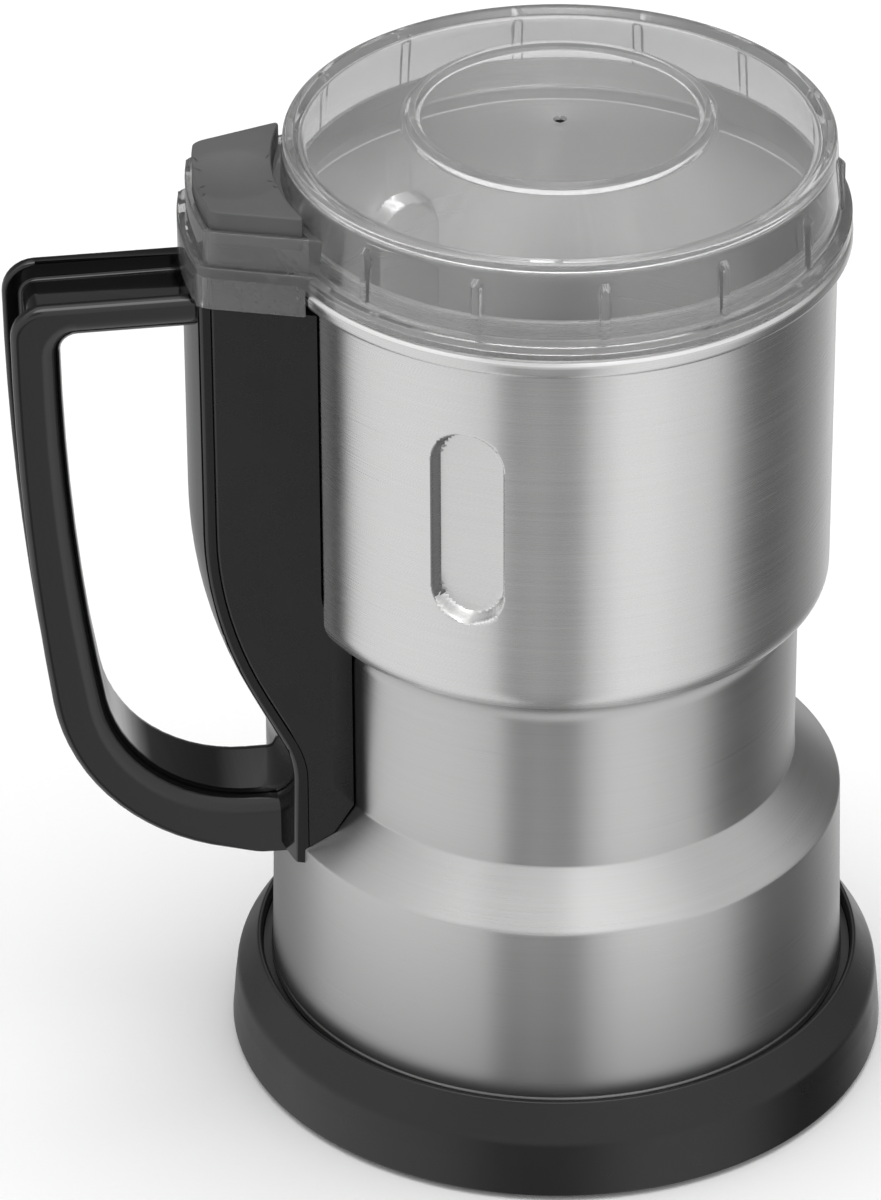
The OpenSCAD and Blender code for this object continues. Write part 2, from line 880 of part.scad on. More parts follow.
// Inner face of the column, against housing and bowl, standing off by t
function column_inside(t, z0, z1) = concat(
    [[shoulder_r + t, z0]],
    [[shoulder_r + t, shoulder_z + bend45 * t - 0.4], [neck_r + t, neck_z + bend45 * t]],
    [[neck_r + t, bowl_z0 - 0.2 - t / 2]],
    arc(bowl_r - corner_r, bowl_z0 + corner_r, corner_r + t, -60, 0, 6),
    [[bowl_r + t, z1]]);

module column_space(t_in, t_out, z0, z1) {
    rotate_extrude()
        difference() {
            polygon(concat([[0, z0]], column_outside(t_out, z0, z1), [[0, z1]]));
            polygon(concat([[0, z0 - 1]], column_inside(t_in, z0 - 1, z1 + 1), [[0, z1 + 1]]));
        }
}

column_top = lap_z;
rod_x = 58.5;
guide_z = bowl_z0 + 59;
low_web_z = bowl_z0 + 8;
guide_r = 4;
pocket_r = 4.5;
boss_out_r = 3.4;

module handle_column() {
    color([0.14, 0.14, 0.15])
        difference() {
            union() {
                difference() {
                    intersection() {
                        column_space(run_gap, strip_t + fit_gap, column_z0, column_top);
                        wedge(column_half, column_z0, column_top);
                    }
                    difference() {
                        intersection() {
                            column_space(run_gap + column_wall, -5, column_z0 - 1, column_top + 1);
                            wedge(column_half - column_wall, column_z0 + 8, column_top - web_t);
                        }
                        disc(big, guide_z - web_t, guide_z);
                        disc(big, low_web_z, low_web_z + web_t);
                    }
                }
                intersection() {
                    ring(bead_r + run_gap, column_r - strip_t - lap_in, column_top - eps, spigot_top);
                    wedge(column_half - lap_in, column_top - eps, spigot_top);
                }
                intersection() {
                    for (z = screw_hole_z)
                        translate([0, 0, z])
                            rotate([0, -90, 0])
                                cylinder(r = boss_out_r, h = neck_r + 9);
                    column_space(run_gap, strip_t + 0.5, column_z0, column_top);
                }
                for (s = [-1, 1])
                    translate([-(neck_r + run_gap + 1), s * switch_pitch / 2, switch_z0 + 3])
                        rotate([0, -90, 0])
                            cylinder(r = 2.8, h = switch_x0 - neck_r - run_gap - 1);
            }
            translate([-rod_x, 0, 0]) {
                disc(pocket_r, column_top - web_t - 1, spigot_top + 1);
                disc(guide_r, guide_z - web_t - 1, guide_z + 1);
                disc(rod_r + run_gap, low_web_z - 1, low_web_z + web_t + 1);
            }
            for (z = screw_hole_z)
                translate([0, 0, z])
                    rotate([0, -90, 0])
                        cylinder(r = handle_screw_r, h = neck_r + 7, $fn = 24);
            for (s = [-1, 1])
                translate([-(switch_x0 + eps), s * switch_pitch / 2, switch_z0 + 3])
                    rotate([0, 90, 0])
                        cylinder(r = switch_screw_r, h = 4.5, $fn = 24);
        }
}

// Side view of the handle: x is the distance from the axis, y the height
bar_z1 = lap_z;
bar_z0 = bar_z1 - bar_h;
grip_sweep_r = 590;
grip_low_z = column_z0 - 2.1;
grip_bend_z = grip_low_z + 35.8;
out_lean = asin((bar_z1 - 6 - grip_bend_z) / grip_sweep_r);
out_bend_r = (grip_bend_z - grip_low_z) / (1 - sin(out_lean));
out_bend_x = grip_reach - grip_sweep_r * (1 - cos(out_lean));
grip_thick = 8.9;
in_sweep_r = 453;
in_low_z = grip_low_z + 12;
in_bend_z = in_low_z + 22.8;
in_top_z = bar_z0 - 3;
in_lean = asin((in_top_z - in_bend_z) / in_sweep_r);
in_bend_r = (in_bend_z - in_low_z) / (1 - sin(in_lean));
in_bend_x = grip_reach - grip_thick - in_sweep_r * (1 - cos(in_lean));
grip_in_x = column_foot_r - 15;

// Outer edge of the handle, drawn in by t
function grip_outside(t) = concat(
    [[grip_in_x, bar_z1 - t]],
    arc(grip_reach - 6, bar_z1 - 6, 6 - t, 90, 0, 5),
    arc(grip_reach - grip_sweep_r, bar_z1 - 6, grip_sweep_r - t, 0, -out_lean, 4),
    arc(out_bend_x - out_bend_r * cos(out_lean), grip_bend_z + out_bend_r * sin(out_lean),
        out_bend_r - t, -out_lean, -90, 9),
    [[grip_in_x, grip_low_z + t]]);

// Edge of the finger opening
function grip_opening() = concat(
    [[grip_in_x - 5, bar_z0]],
    arc(grip_reach - grip_thick - 3, in_top_z, 3, 90, 0, 4),
    arc(grip_reach - grip_thick - in_sweep_r, in_top_z, in_sweep_r, 0, -in_lean, 4),
    arc(in_bend_x - in_bend_r * cos(in_lean), in_bend_z + in_bend_r * sin(in_lean),
        in_bend_r, -in_lean, -90, 8),
    [[grip_in_x - 5, in_low_z]]);

rim_w = 3.2;

module grip_extrusion(w) {
    translate([0, w / 2, 0])
        rotate([90, 0, 0])
            linear_extrude(w)
                mirror([1, 0])
                    children();
}

module outside_column() {
    difference() {
        children();
        rotate_extrude()
            polygon(concat([[0, 0]], [[column_foot_r - 1, 0]],
                           column_outside(1, column_z0, lap_z + 5), [[0, lap_z + 5]]));
    }
}

module handle_grip() {
    color([0.05, 0.05, 0.05]) {
        intersection() {
            column_space(run_gap, 0, column_z0, column_top);
            wedge(column_half, column_z0, column_top);
            rotate_extrude()
                difference() {
                    square([big, column_top + 1]);
                    polygon(concat([[0, column_z0 - 1]], column_outside(strip_t, column_z0 - 1, column_top + 1),
                                   [[0, column_top + 1]]));
                }
        }
        outside_column()
            difference() {
                grip_extrusion(grip_w)
                    difference() {
                        polygon(grip_outside(0));
                        polygon(grip_opening());
                    }
                grip_extrusion(grip_w - 2 * rim_w)
                    difference() {
                        translate([column_r + 2, 0])
                            square([big, bar_z1 + 1]);
                        polygon(grip_outside(channel_depth));
                    }
            }
    }
}

module handle_screws() {
    color([0.6, 0.6, 0.62])
        for (z = screw_hole_z)
            translate([-(neck_r - sheet - 2.2), 0, z])
                rotate([0, -90, 0])
                    screw(3, 2, handle_screw_r, 7);
}

// -------------------------------------------------------------- switch

switch_z1 = low_web_z - 5;
switch_h = 10.2;
switch_z0 = switch_z1 - switch_h;
switch_t = 5.8;
switch_l = 19.8;
switch_x0 = 53;
switch_pitch = 13;
switch_screw_r = 1.2;
switch_head_r = 2.1;
switch_head_h = 1;
plunger_up = 1.2;
plunger_r = 1.3;
rod_z0 = switch_z1 + plunger_up - plunger_travel + press_travel + fit_gap;
rod_head_r = 3.4;
rod_head_h = 2.4;
rod_z1 = lid_z0 - 1.4;

module micro_switch() {
    color([0.2, 0.2, 0.22])
        difference() {
            translate([-switch_x0 - switch_t, -switch_l / 2, switch_z0])
                cube([switch_t, switch_l, switch_h]);
            translate([-rod_x + 1.6, 0, 0])
                disc(plunger_r + shaft_gap, switch_z1 - 3, switch_z1 + 1);
            for (s = [-1, 1])
                translate([0, s * switch_pitch / 2, switch_z0 + 3])
                    rotate([0, -90, 0]) {
                        cylinder(r = switch_screw_r + fit_gap, h = big, $fn = 24);
                        translate([0, 0, switch_x0 + switch_t - switch_head_h])
                            cylinder(r = switch_head_r + fit_gap, h = big, $fn = 24);
                    }
        }
}

module switch_plunger() {
    color([0.8, 0.2, 0.15])
        translate([-rod_x + 1.6, 0, 0])
            disc(plunger_r, switch_z1 - 1.6, switch_z1 + plunger_up);
}

module switch_screws() {
    color([0.6, 0.6, 0.62])
        for (s = [-1, 1])
            translate([-switch_x0 - switch_t, s * switch_pitch / 2, switch_z0 + 3])
                rotate([0, 90, 0])
                    screw(switch_head_r, switch_head_h, switch_screw_r, switch_t + 3);
}

module push_rod() {
    color([0.85, 0.85, 0.85])
        translate([-rod_x, 0, 0]) {
            disc(rod_r, rod_z0, rod_z1);
            disc(rod_head_r, rod_z1 - rod_head_h, rod_z1);
        }
}

module rod_guide() {
    color([0.75, 0.75, 0.72])
        translate([-rod_x, 0, 0]) {
            ring(rod_r + shaft_gap, guide_r - shaft_gap, guide_z - web_t, guide_z + eps);
            ring(rod_r + shaft_gap, guide_r + 1.6, guide_z, guide_z + 1);
        }
}

module rod_spring() {
    color([0.7, 0.7, 0.7])
        translate([-rod_x, 0, 0])
            ring(rod_r + 0.3, rod_head_r - 0.1, guide_z + 1, rod_z1 - rod_head_h);
}

capacitor_l = 26;
capacitor_w = 9;
capacitor_y = base_r - 17.5;

module suppression_capacitor() {
    color([0.75, 0.6, 0.2])
        translate([-capacitor_l / 2, -capacitor_y, cover_z1])
            cube([capacitor_l, capacitor_w, capacitor_w]);
}

block_l = 24;
block_w = 9;
block_h = 8;
block_y = base_r - 27.5;
block_pitch = 7.5;

module terminal_block() {
    color([0.85, 0.83, 0.75])
        difference() {
            translate([-block_l / 2, block_y, cover_z1])
                cube([block_l, block_w, block_h]);
            for (k = [-1, 0, 1])
                translate([k * block_pitch, block_y - 1, cover_z1 + block_h / 2])
                    rotate([-90, 0, 0])
                        cylinder(r = 1.6, h = block_w + 2, $fn = 24);
        }
}

// ----------------------------------------------------------------- lid

rim_roll = 1.4;
plate_z = lid_z1 - 0.9;
ring_bump = 0.8;
skirt_low_r = 50;
flange_h = 2.3;
flange_slope = 0.8;
crown_z = lid_z1 + crown_h;
dish_drop = 1.8;

module lid_shell() {
    rotate_extrude()
        difference() {
            polygon(concat([[0, lid_z0], [flange_r, lid_z0], [flange_r, lid_z0 + flange_h],
                            [skirt_low_r, lid_z0 + flange_h + flange_slope]],
                           arc(lid_r - rim_roll, lid_z1 - rim_roll, rim_roll, 0, 90, 5),
                           [[lid_r - 3, plate_z], [ring_r + 1.9, crown_z - ring_bump],
                            [ring_r + 0.9, crown_z], [ring_r - 0.9, crown_z],
                            [ring_r - 1.9, crown_z - ring_bump - 0.2], [0, crown_z - dish_drop]]));
            polygon([[0, lid_z0 - 1], [skirt_low_r - lid_wall + 0.4, lid_z0 - 1],
                     [skirt_low_r - lid_wall, lid_z0 + flange_h],
                     [lid_r - lid_wall - 0.2, plate_z - lid_wall],
                     [ring_r + 1.9, crown_z - ring_bump - lid_wall],
                     [0, crown_z - dish_drop - lid_wall]]);
        }
}

rib_w = 3.2;
rib_h = 9.6;
rib_out = 0.7;
ear_skip = 24;

module lid_ribs() {
    for (i = [0:rib_places - 1]) {
        a = (i + 0.5) * 360 / rib_places;
        if (abs(a - 180) > ear_skip)
            rotate([0, 0, a])
                translate([lid_r - lid_wall / 2, 0, lid_z0 + flange_h + 0.4 + rib_h / 2])
                    rotate([90, 0, 90])
                        linear_extrude(lid_wall / 2 + 0.6 + rib_out)
                            slot_2d(rib_w, rib_h);
    }
}

ear_low_half = column_half + 2.3;
ear_low_r = column_r + 0.7;
ear_low_z0 = lap_z + 0.5;
ear_low_z1 = lid_z0 + flange_h + 0.6;
ear_up_half = column_half + 1.1;
ear_up_r = column_r - 0.9;
ear_up_z1 = lid_z0 + 9.5;
ear_wall = 1;
ear_low_wall = 1.5;
shelf_up_z = lid_z0 + 0.4;
shelf_t = 1.5;
stem_r = 2.6;
clip_r = 4.2;
clip_h = 0.8;

module ear_block(half, r, z0, z1, r_in) {
    intersection() {
        ring(r_in, r, z0, z1);
        wedge(half, z0, z1);
    }
}

module lid() {
    color([0.85, 0.87, 0.88, 0.45]) {
        difference() {
            union() {
                lid_shell();
                lid_ribs();
                difference() {
                    union() {
                        ear_block(ear_low_half, ear_low_r, ear_low_z0, lid_z0 + eps, bead_r + run_gap);
                        ear_block(ear_up_half, ear_up_r, ear_low_z1 - eps, ear_up_z1, skirt_low_r - 0.8);
                        ear_block(ear_low_half, ear_low_r, lid_z0, ear_low_z1, skirt_low_r - 0.8);
                    }
                    ear_block(ear_up_half - ear_wall, ear_up_r - ear_wall, shelf_up_z + shelf_t,
                              ear_up_z1 + 1, skirt_low_r + 0.8);
                    ear_block(ear_low_half - ear_low_wall, ear_low_r - ear_low_wall, ear_low_z0 - 1,
                              shelf_up_z, bead_r + run_gap);
                }
            }
            translate([-rod_x, 0, 0])
                disc(stem_r + run_gap, shelf_up_z - 1, shelf_up_z + shelf_t + 1);
        }
    }
}

button_gap = 0.25;
button_r0 = skirt_low_r + 0.8 + button_gap;
button_r1 = ear_up_r - ear_wall - button_gap;
button_half = ear_up_half - ear_wall - button_gap;
button_z1 = ear_up_z1 + press_travel;
button_z0 = lid_z0 + flange_h + flange_slope + press_travel + run_gap;
button_wall = 1.4;
dish_r = 60;
dish_depth = 0.8;
cap_z = button_z1 - dish_depth - 2;
clip_z0 = shelf_up_z - run_gap - clip_h;
clip_bite = 0.7;

module press_button() {
    color([0.1, 0.1, 0.1])
        difference() {
            union() {
                difference() {
                    ear_block(button_half, button_r1, button_z0, button_z1, button_r0);
                    ear_block(button_half - button_wall, button_r1 - button_wall, button_z0 - 1,
                              cap_z, button_r0 + button_wall);
                    translate([-(button_r0 + button_r1) / 2, 0, button_z1 + dish_r - dish_depth])
                        sphere(r = dish_r);
                }
                translate([-rod_x, 0, 0])
                    disc(stem_r, rod_z1 + run_gap, cap_z + eps);
            }
            translate([-rod_x, 0, 0])
                ring(stem_r - clip_bite, stem_r + 1, clip_z0, clip_z0 + clip_h);
        }
}

spring_gap = 0.4;

module button_spring() {
    color([0.7, 0.7, 0.7])
        translate([-rod_x, 0, 0])
            ring(stem_r + spring_gap, stem_r + spring_gap + 0.8, shelf_up_z + shelf_t, cap_z);
}

module button_clip() {
    color([0.7, 0.7, 0.7])
        translate([-rod_x, 0, 0])
            ring(stem_r - clip_bite + shaft_gap, clip_r, clip_z0 + shaft_gap, clip_z0 + clip_h - shaft_gap);
}

// ------------------------------------------------------------ assembly

base_ring();
bottom_cover();
rubber_foot();
bottom_screws();
cord_gland();
motor_housing();
tie_screws();
bowl_carrier();
bowl_gasket();
grinding_bowl();
bowl_screws();
shaft_seal();
upper_bracket();
lower_bracket();
bracket_bolts();
isolators();
isolator_screws();
upper_bearing();
lower_bearing();
stator_core();
field_coils();
motor_shaft();
armature_core();
armature_windings();
commutator();
cooling_fan();
brush_holders();
carbon_brushes();
brush_springs();
lower_blade();
upper_blade();
blade_spacer();
blade_washer();
blade_nut();
handle_column();
handle_grip();
handle_screws();
push_rod();
rod_spring();
rod_guide();
micro_switch();
switch_plunger();
switch_screws();
suppression_capacitor();
terminal_block();
lid();
press_button();
button_spring();
button_clip();
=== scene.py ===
import json
import math

import bmesh
import bpy
from mathutils import Matrix, Vector


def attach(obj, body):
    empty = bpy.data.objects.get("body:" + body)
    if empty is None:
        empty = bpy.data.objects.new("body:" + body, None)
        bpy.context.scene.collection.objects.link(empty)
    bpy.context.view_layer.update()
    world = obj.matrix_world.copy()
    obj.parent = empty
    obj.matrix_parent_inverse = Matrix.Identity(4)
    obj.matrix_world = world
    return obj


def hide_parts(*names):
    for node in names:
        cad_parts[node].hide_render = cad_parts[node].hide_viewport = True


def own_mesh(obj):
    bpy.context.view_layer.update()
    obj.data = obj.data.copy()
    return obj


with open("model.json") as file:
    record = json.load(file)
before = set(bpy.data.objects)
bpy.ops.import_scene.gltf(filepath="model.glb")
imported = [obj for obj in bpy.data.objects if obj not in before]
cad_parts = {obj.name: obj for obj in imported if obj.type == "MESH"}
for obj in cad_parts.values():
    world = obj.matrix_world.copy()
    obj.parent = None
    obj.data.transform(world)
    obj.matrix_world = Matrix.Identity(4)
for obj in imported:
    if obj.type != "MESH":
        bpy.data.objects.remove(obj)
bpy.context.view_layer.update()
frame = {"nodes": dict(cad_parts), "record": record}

# An electric spice grinder: motor base, steel bowl, clear lid with a press button, side handle.
# Measures are in millimetres until a piece's points are placed, which is in metres.
MM = 0.001
SLOT_OF = {part["node"]: part["material_slot"] for part in frame["record"]["subparts"]}
FINISHES = {}
ROUND_STEPS = 256
MERGE_GAP = 0.002
SHARP_ANGLE = 35.0
HANDLE_WAY = math.pi

# Heights and places that several pieces share
CORD_Z = 8.8
ROD_X = -58.5
SHOULDER_Z = 53.2
NECK_R = 44.1
NECK_FOOT_Z = 62.1
NECK_TOP = 96.0
BOWL_Z = 97.1
RIM_Z = 177.7
LID_Z = 172.3
LAP_Z = 166.3
COLUMN_FOOT_Z = 50.3


# ------------------------------------------------------------------ lines

def clip(value):
    return min(max(value, 0.0), 1.0)


def smooth_step(value):
    value = clip(value)
    return value * value * (3 - 2 * value)


def arc_line(across, up, radius, start, end, count):
    """Points on an arc round (across, up), in degrees."""
    angles = [math.radians(start + (end - start) * i / count) for i in range(count + 1)]
    return [Vector((across + radius * math.cos(a), up + radius * math.sin(a))) for a in angles]


def rounded_line(corners, turn=11.0):
    """A line through corners (across, up, radius), each rounded to its radius."""
    line = []
    for i, (across, up, radius) in enumerate(corners):
        here = Vector((across, up))
        if radius == 0 or i in (0, len(corners) - 1):
            line.append(here)
            continue
        back = Vector(corners[i - 1][:2]) - here
        on = Vector(corners[i + 1][:2]) - here
        half = back.angle(on) / 2
        reach = min(radius / math.tan(half), 0.49 * back.length, 0.49 * on.length)
        radius = reach * math.tan(half)
        middle = here + (back.normalized() + on.normalized()).normalized() * radius / math.sin(half)
        first = here + back.normalized() * reach - middle
        last = here + on.normalized() * reach - middle
        sweep = math.atan2(first.cross(last), first.dot(last))
        count = max(2, math.ceil(abs(math.degrees(sweep)) / turn))
        for k in range(count + 1):
            line.append(middle + Matrix.Rotation(sweep * k / count, 2) @ first)
    return line


TALL = 20


def propped_line(line, prop=0.35, longest=None, rows=()):
    """The same line with a point close to each end of its straight stretches, so that shading
    stays flat. Steep ones get points at most longest mm apart, tall ones at the heights in rows."""
    done = [line[0]]
    for start, end in zip(line, line[1:]):
        way = end - start
        steep = abs(way.y) > abs(way.x)
        stops = []
        if way.length > 4 * prop:
            stops = [prop / way.length, 1 - prop / way.length]
        if longest and steep and way.length > 2 * longest:
            count = math.ceil(way.length / longest)
            stops = sorted(stops + [k / count for k in range(1, count)])
        if steep and way.length > TALL:
            stops = sorted(stops + [(row - start.y) / way.y for row in rows])
        done += [start + way * t for t in stops] + [end]
    return done


# ----------------------------------------------------------------- making

def rest_hands():
    """Leaves nothing selected."""
    bpy.ops.object.select_all(action="DESELECT")


def pick(piece):
    """Selects one piece and makes it the active one."""
    rest_hands()
    piece.select_set(True)
    bpy.context.view_layer.objects.active = piece


def start_piece(name, place):
    """A new piece in edit mode that is one point so far, at place."""
    rest_hands()
    bpy.ops.mesh.primitive_plane_add(size=MM)
    piece = bpy.context.object
    piece.name = name
    piece.data.name = name
    bpy.ops.object.mode_set(mode="EDIT")
    bpy.ops.mesh.select_mode(type="VERT")
    bpy.ops.mesh.merge(type="CENTER")
    bpy.ops.transform.translate(value=place)
    return piece


def pull_along(places):
    """Pulls the selected point through the places that follow its own."""
    for here, there in zip(places, places[1:]):
        bpy.ops.mesh.extrude_region_move(TRANSFORM_OT_translate={"value": there - here})


def merge_points():
    """In edit mode, selects everything and merges what meets."""
    bpy.ops.mesh.select_all(action="SELECT")
    bpy.ops.mesh.remove_doubles(threshold=MERGE_GAP * MM)


def close_up(piece):
    """Merges what meets, turns the faces outwards and leaves edit mode."""
    merge_points()
    bpy.ops.mesh.normals_make_consistent(inside=False)
    bpy.ops.object.mode_set(mode="OBJECT")
    return piece


def turn_on_lathe(name, line, steps=ROUND_STEPS, sweep=360.0, stretches=None, start=0.0):
    """Turns a side line of (radius, height) round the axis, a part turn centred on the handle.
    Stretches of (sweep, steps) take the place of one even turn, from start degrees on."""
    way = math.radians(start) if sweep == 360.0 else HANDLE_WAY + math.radians(sweep) / 2
    place = Vector((math.cos(way), math.sin(way), 0))
    places = [(place * p.x + Vector((0, 0, p.y))) * MM for p in line]
    piece = start_piece(name, places[0])
    pull_along(places)
    bpy.ops.mesh.select_all(action="SELECT")
    if sweep != 360.0:
        merge_points()
        bpy.ops.mesh.edge_face_add()
    for part, count in stretches or [(sweep, steps)]:
        bpy.ops.mesh.spin(steps=count, angle=math.radians(part), center=(0, 0, 0), axis=(0, 0, 1))
    return close_up(piece)


def pull_outline(name, outline, start, thick):
    """A closed outline of points, in mm, moved by start and pulled into a solid by thick."""
    places = [(p + start) * MM for p in outline]
    piece = start_piece(name, places[0])
    pull_along(places + [places[0]])
    merge_points()
    bpy.ops.mesh.edge_face_add()
    bpy.ops.mesh.extrude_region_move(TRANSFORM_OT_translate={"value": thick * MM})
    return close_up(piece)


def choose(piece, kind, test):
    """In edit mode, selects the piece's verts, edges or faces that pass the test."""
    bpy.ops.mesh.select_mode(type=kind)
    bpy.ops.mesh.select_all(action="DESELECT")
    mesh = bmesh.from_edit_mesh(piece.data)
    mesh.normal_update()
    for part in {"VERT": mesh.verts, "EDGE": mesh.edges, "FACE": mesh.faces}[kind]:
        part.select_set(bool(test(part)))
    mesh.select_flush_mode()
    bmesh.update_edit_mesh(piece.data)


def middle_of(edge):
    """An edge's middle, in mm."""
    return (edge.verts[0].co + edge.verts[1].co) / (2 * MM)


def along(edge):
    return (edge.verts[1].co - edge.verts[0].co).normalized()


def is_upright(edge, least=0.9):
    return abs(along(edge).z) > least


def is_sharp(edge):
    return len(edge.link_faces) == 2 and edge.calc_face_angle(0) > math.radians(SHARP_ANGLE)


def bevel_edges(piece, radius, test, segments=4):
    """Rounds the sharp edges that pass the test."""
    pick(piece)
    bpy.ops.object.mode_set(mode="EDIT")
    choose(piece, "EDGE", lambda edge: is_sharp(edge) and test(edge))
    bpy.ops.mesh.bevel(offset=radius * MM, segments=segments, profile=0.5, affect="EDGES",
                       clamp_overlap=False)
    bpy.ops.object.mode_set(mode="OBJECT")
    return piece


def apply_modifier(piece, kind, **settings):
    """Adds a modifier and applies it at once."""
    pick(piece)
    modifier = piece.modifiers.new(kind.lower(), kind)
    for key, value in settings.items():
        setattr(modifier, key, value)
    bpy.ops.object.modifier_apply(modifier=modifier.name)
    return piece


def work(piece, tool, how):
    """Joins, cuts or trims a piece with a tool, which is then thrown away."""
    apply_modifier(piece, "BOOLEAN", object=tool, operation=how, solver="MANIFOLD")
    bpy.data.objects.remove(tool, do_unlink=True)
    return piece


def soft_shade(piece, angle=32.0, flats=False):
    """Smooth shading up to an angle; with flats, large flat faces stay evenly flat."""
    pick(piece)
    bpy.ops.object.shade_smooth_by_angle(angle=math.radians(angle))
    return apply_modifier(piece, "WEIGHTED_NORMAL", keep_sharp=True) if flats else piece


def move_points(piece, where):
    """Moves each vertex to where(place) says, in mm."""
    for vertex in piece.data.vertices:
        vertex.co = where(vertex.co / MM) * MM
    piece.data.update()
    return piece


def rounded_bar(name, radius, low, high, spot=(0, 0), edge=0.3, hole=0, steps=48):
    """A round bar or, with a hole, a sleeve, standing at spot, its edges rounded."""
    corners = [(hole, low, 0), (radius, low, edge), (radius, high, edge), (hole, high, 0)]
    if hole:
        seam = ((hole + radius) / 2, low, 0)
        corners = [seam, *corners[1:3], (hole, high, edge), (hole, low, edge), seam]
    piece = turn_on_lathe(name, rounded_line(corners), steps)
    shift = Vector((spot[0], spot[1], 0))
    return move_points(piece, lambda place: place + shift)


def point_back(piece):
    """Turns an upright piece on the axis to point out of the back, at the cord's height."""
    piece.data.transform(Matrix.Rotation(-math.pi / 2, 4, "X"))
    return move_points(piece, lambda place: place + Vector((0, 0, CORD_Z)))


def join_pieces(name, pieces):
    """Makes several solids one piece."""
    rest_hands()
    for piece in pieces:
        piece.select_set(True)
    bpy.context.view_layer.objects.active = pieces[0]
    bpy.ops.object.join()
    pieces[0].name = name
    pieces[0].data.name = name
    return pieces[0]


def mark_faces(piece, finish, test):
    """Gives the faces that pass the test a second finish."""
    piece.data.materials.append(FINISHES[finish])
    for face in piece.data.polygons:
        if test(face.center / MM, face.normal):
            face.material_index = len(piece.data.materials) - 1


def paint_over(piece, node):
    """Gives a piece the finish of a CAD node's material slot."""
    piece.data.materials.clear()
    piece.data.materials.append(FINISHES[SLOT_OF[node]])


def settle(piece, body, *nodes):
    """Gives a piece its finish and body, and puts it in the place of its CAD nodes."""
    paint_over(piece, nodes[0])
    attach(piece, body)
    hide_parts(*nodes)


# --------------------------------------------------------------- finishes

class Wire:
    """A socket that takes part in sums: an expression on wires adds its Math nodes."""

    def __init__(self, paint, socket):
        self.paint = paint
        self.socket = socket

    def __add__(self, other):
        return self.paint.sum_of("ADD", self, other)

    def __sub__(self, other):
        return self.paint.sum_of("SUBTRACT", self, other)

    def __rsub__(self, other):
        return self.paint.sum_of("SUBTRACT", other, self)

    def __mul__(self, other):
        return self.paint.sum_of("MULTIPLY", self, other)

    def __truediv__(self, other):
        return self.paint.sum_of("DIVIDE", self, other)

    def __pow__(self, other):
        return self.paint.sum_of("POWER", self, other)

    __radd__ = __add__


class Paint:
    """The node tree of a material or of the surroundings."""

    def __init__(self, tree):
        self.tree = tree
        tree.nodes.clear()

    def add(self, kind, settings=None, out=0, **inputs):
        """Adds a node: its settings first, then its inputs, each a value or a wire."""
        node = self.tree.nodes.new(kind)
        for key, value in (settings or {}).items():
            if key == "stops":
                self.set_stops(node.color_ramp, value)
            elif key == "interpolation":
                node.color_ramp.interpolation = value
            else:
                setattr(node, key, value)
        for key, value in inputs.items():
            socket = node.inputs[int(key[1:]) if key[1:].isdigit() else key.replace("_", " ")]
            if isinstance(value, Wire):
                self.tree.links.new(value.socket, socket)
            else:
                socket.default_value = value
        return Wire(self, node.outputs[out])

    @staticmethod
    def set_stops(ramp, stops):
        while len(ramp.elements) > 2:
            ramp.elements.remove(ramp.elements[-1])
        while len(ramp.elements) < len(stops):
            ramp.elements.new(1.0)
        for element, (spot, shade) in zip(ramp.elements, stops):
            element.position = spot
            element.color = (shade, shade, shade, 1)

    def sum_of(self, operation, first, second):
        return self.add("ShaderNodeMath", {"operation": operation}, i0=first, i1=second)

    def clamp(self, value, low=0.0, high=1.0):
        return self.add("ShaderNodeClamp", Value=value, Min=low, Max=high)

    def blend(self, mask, first, second):
        """The first colour where the mask is 0, and the second where it is 1."""
        return self.add("ShaderNodeMix", {"data_type": "RGBA"}, out=2, i0=mask, i6=first, i7=second)

    def parts(self, vector):
        node = self.tree.nodes.new("ShaderNodeSeparateXYZ")
        self.tree.links.new(vector.socket, node.inputs[0])
        return [Wire(self, output) for output in node.outputs]

    def place(self, scale=(1, 1, 1)):
        """The piece's own coordinates in millimetres, stretched by scale."""
        spot = self.add("ShaderNodeTexCoord", out=3)
        return self.add("ShaderNodeMapping", Vector=spot, Scale=[s / MM for s in scale])

    def grain(self, scale, detail, roughness=0.5):
        """Noise with scale waves to the millimetre along each direction."""
        return self.add("ShaderNodeTexNoise", Vector=self.place(scale), Scale=1.0, Detail=detail,
                        Roughness=roughness)


class Finish(Paint):
    """A procedural material round one Principled shader."""

    def __init__(self, name, **values):
        self.material = bpy.data.materials.new(name)
        self.material.use_nodes = True
        super().__init__(self.material.node_tree)
        self.shader = self.tree.nodes.new("ShaderNodeBsdfPrincipled")
        output = self.tree.nodes.new("ShaderNodeOutputMaterial")
        self.tree.links.new(self.shader.outputs[0], output.inputs[0])
        for key, value in values.items():
            self.set(key, value)

    def set(self, key, value):
        socket = self.shader.inputs[key.replace("_", " ")]
        if isinstance(value, Wire):
            self.tree.links.new(value.socket, socket)
        else:
            socket.default_value = value

    def bump(self, height, depth, strength):
        """Raises the surface by depth, in mm, where height is 1."""
        self.set("Normal", self.add("ShaderNodeBump", Height=height, Distance=depth * MM,
                                    Strength=strength))


def grey(shade, warm=0.0):
    """A grey, a little warmer or cooler by the share warm."""
    return (shade * (1 + warm), shade, shade * (1 - warm), 1)


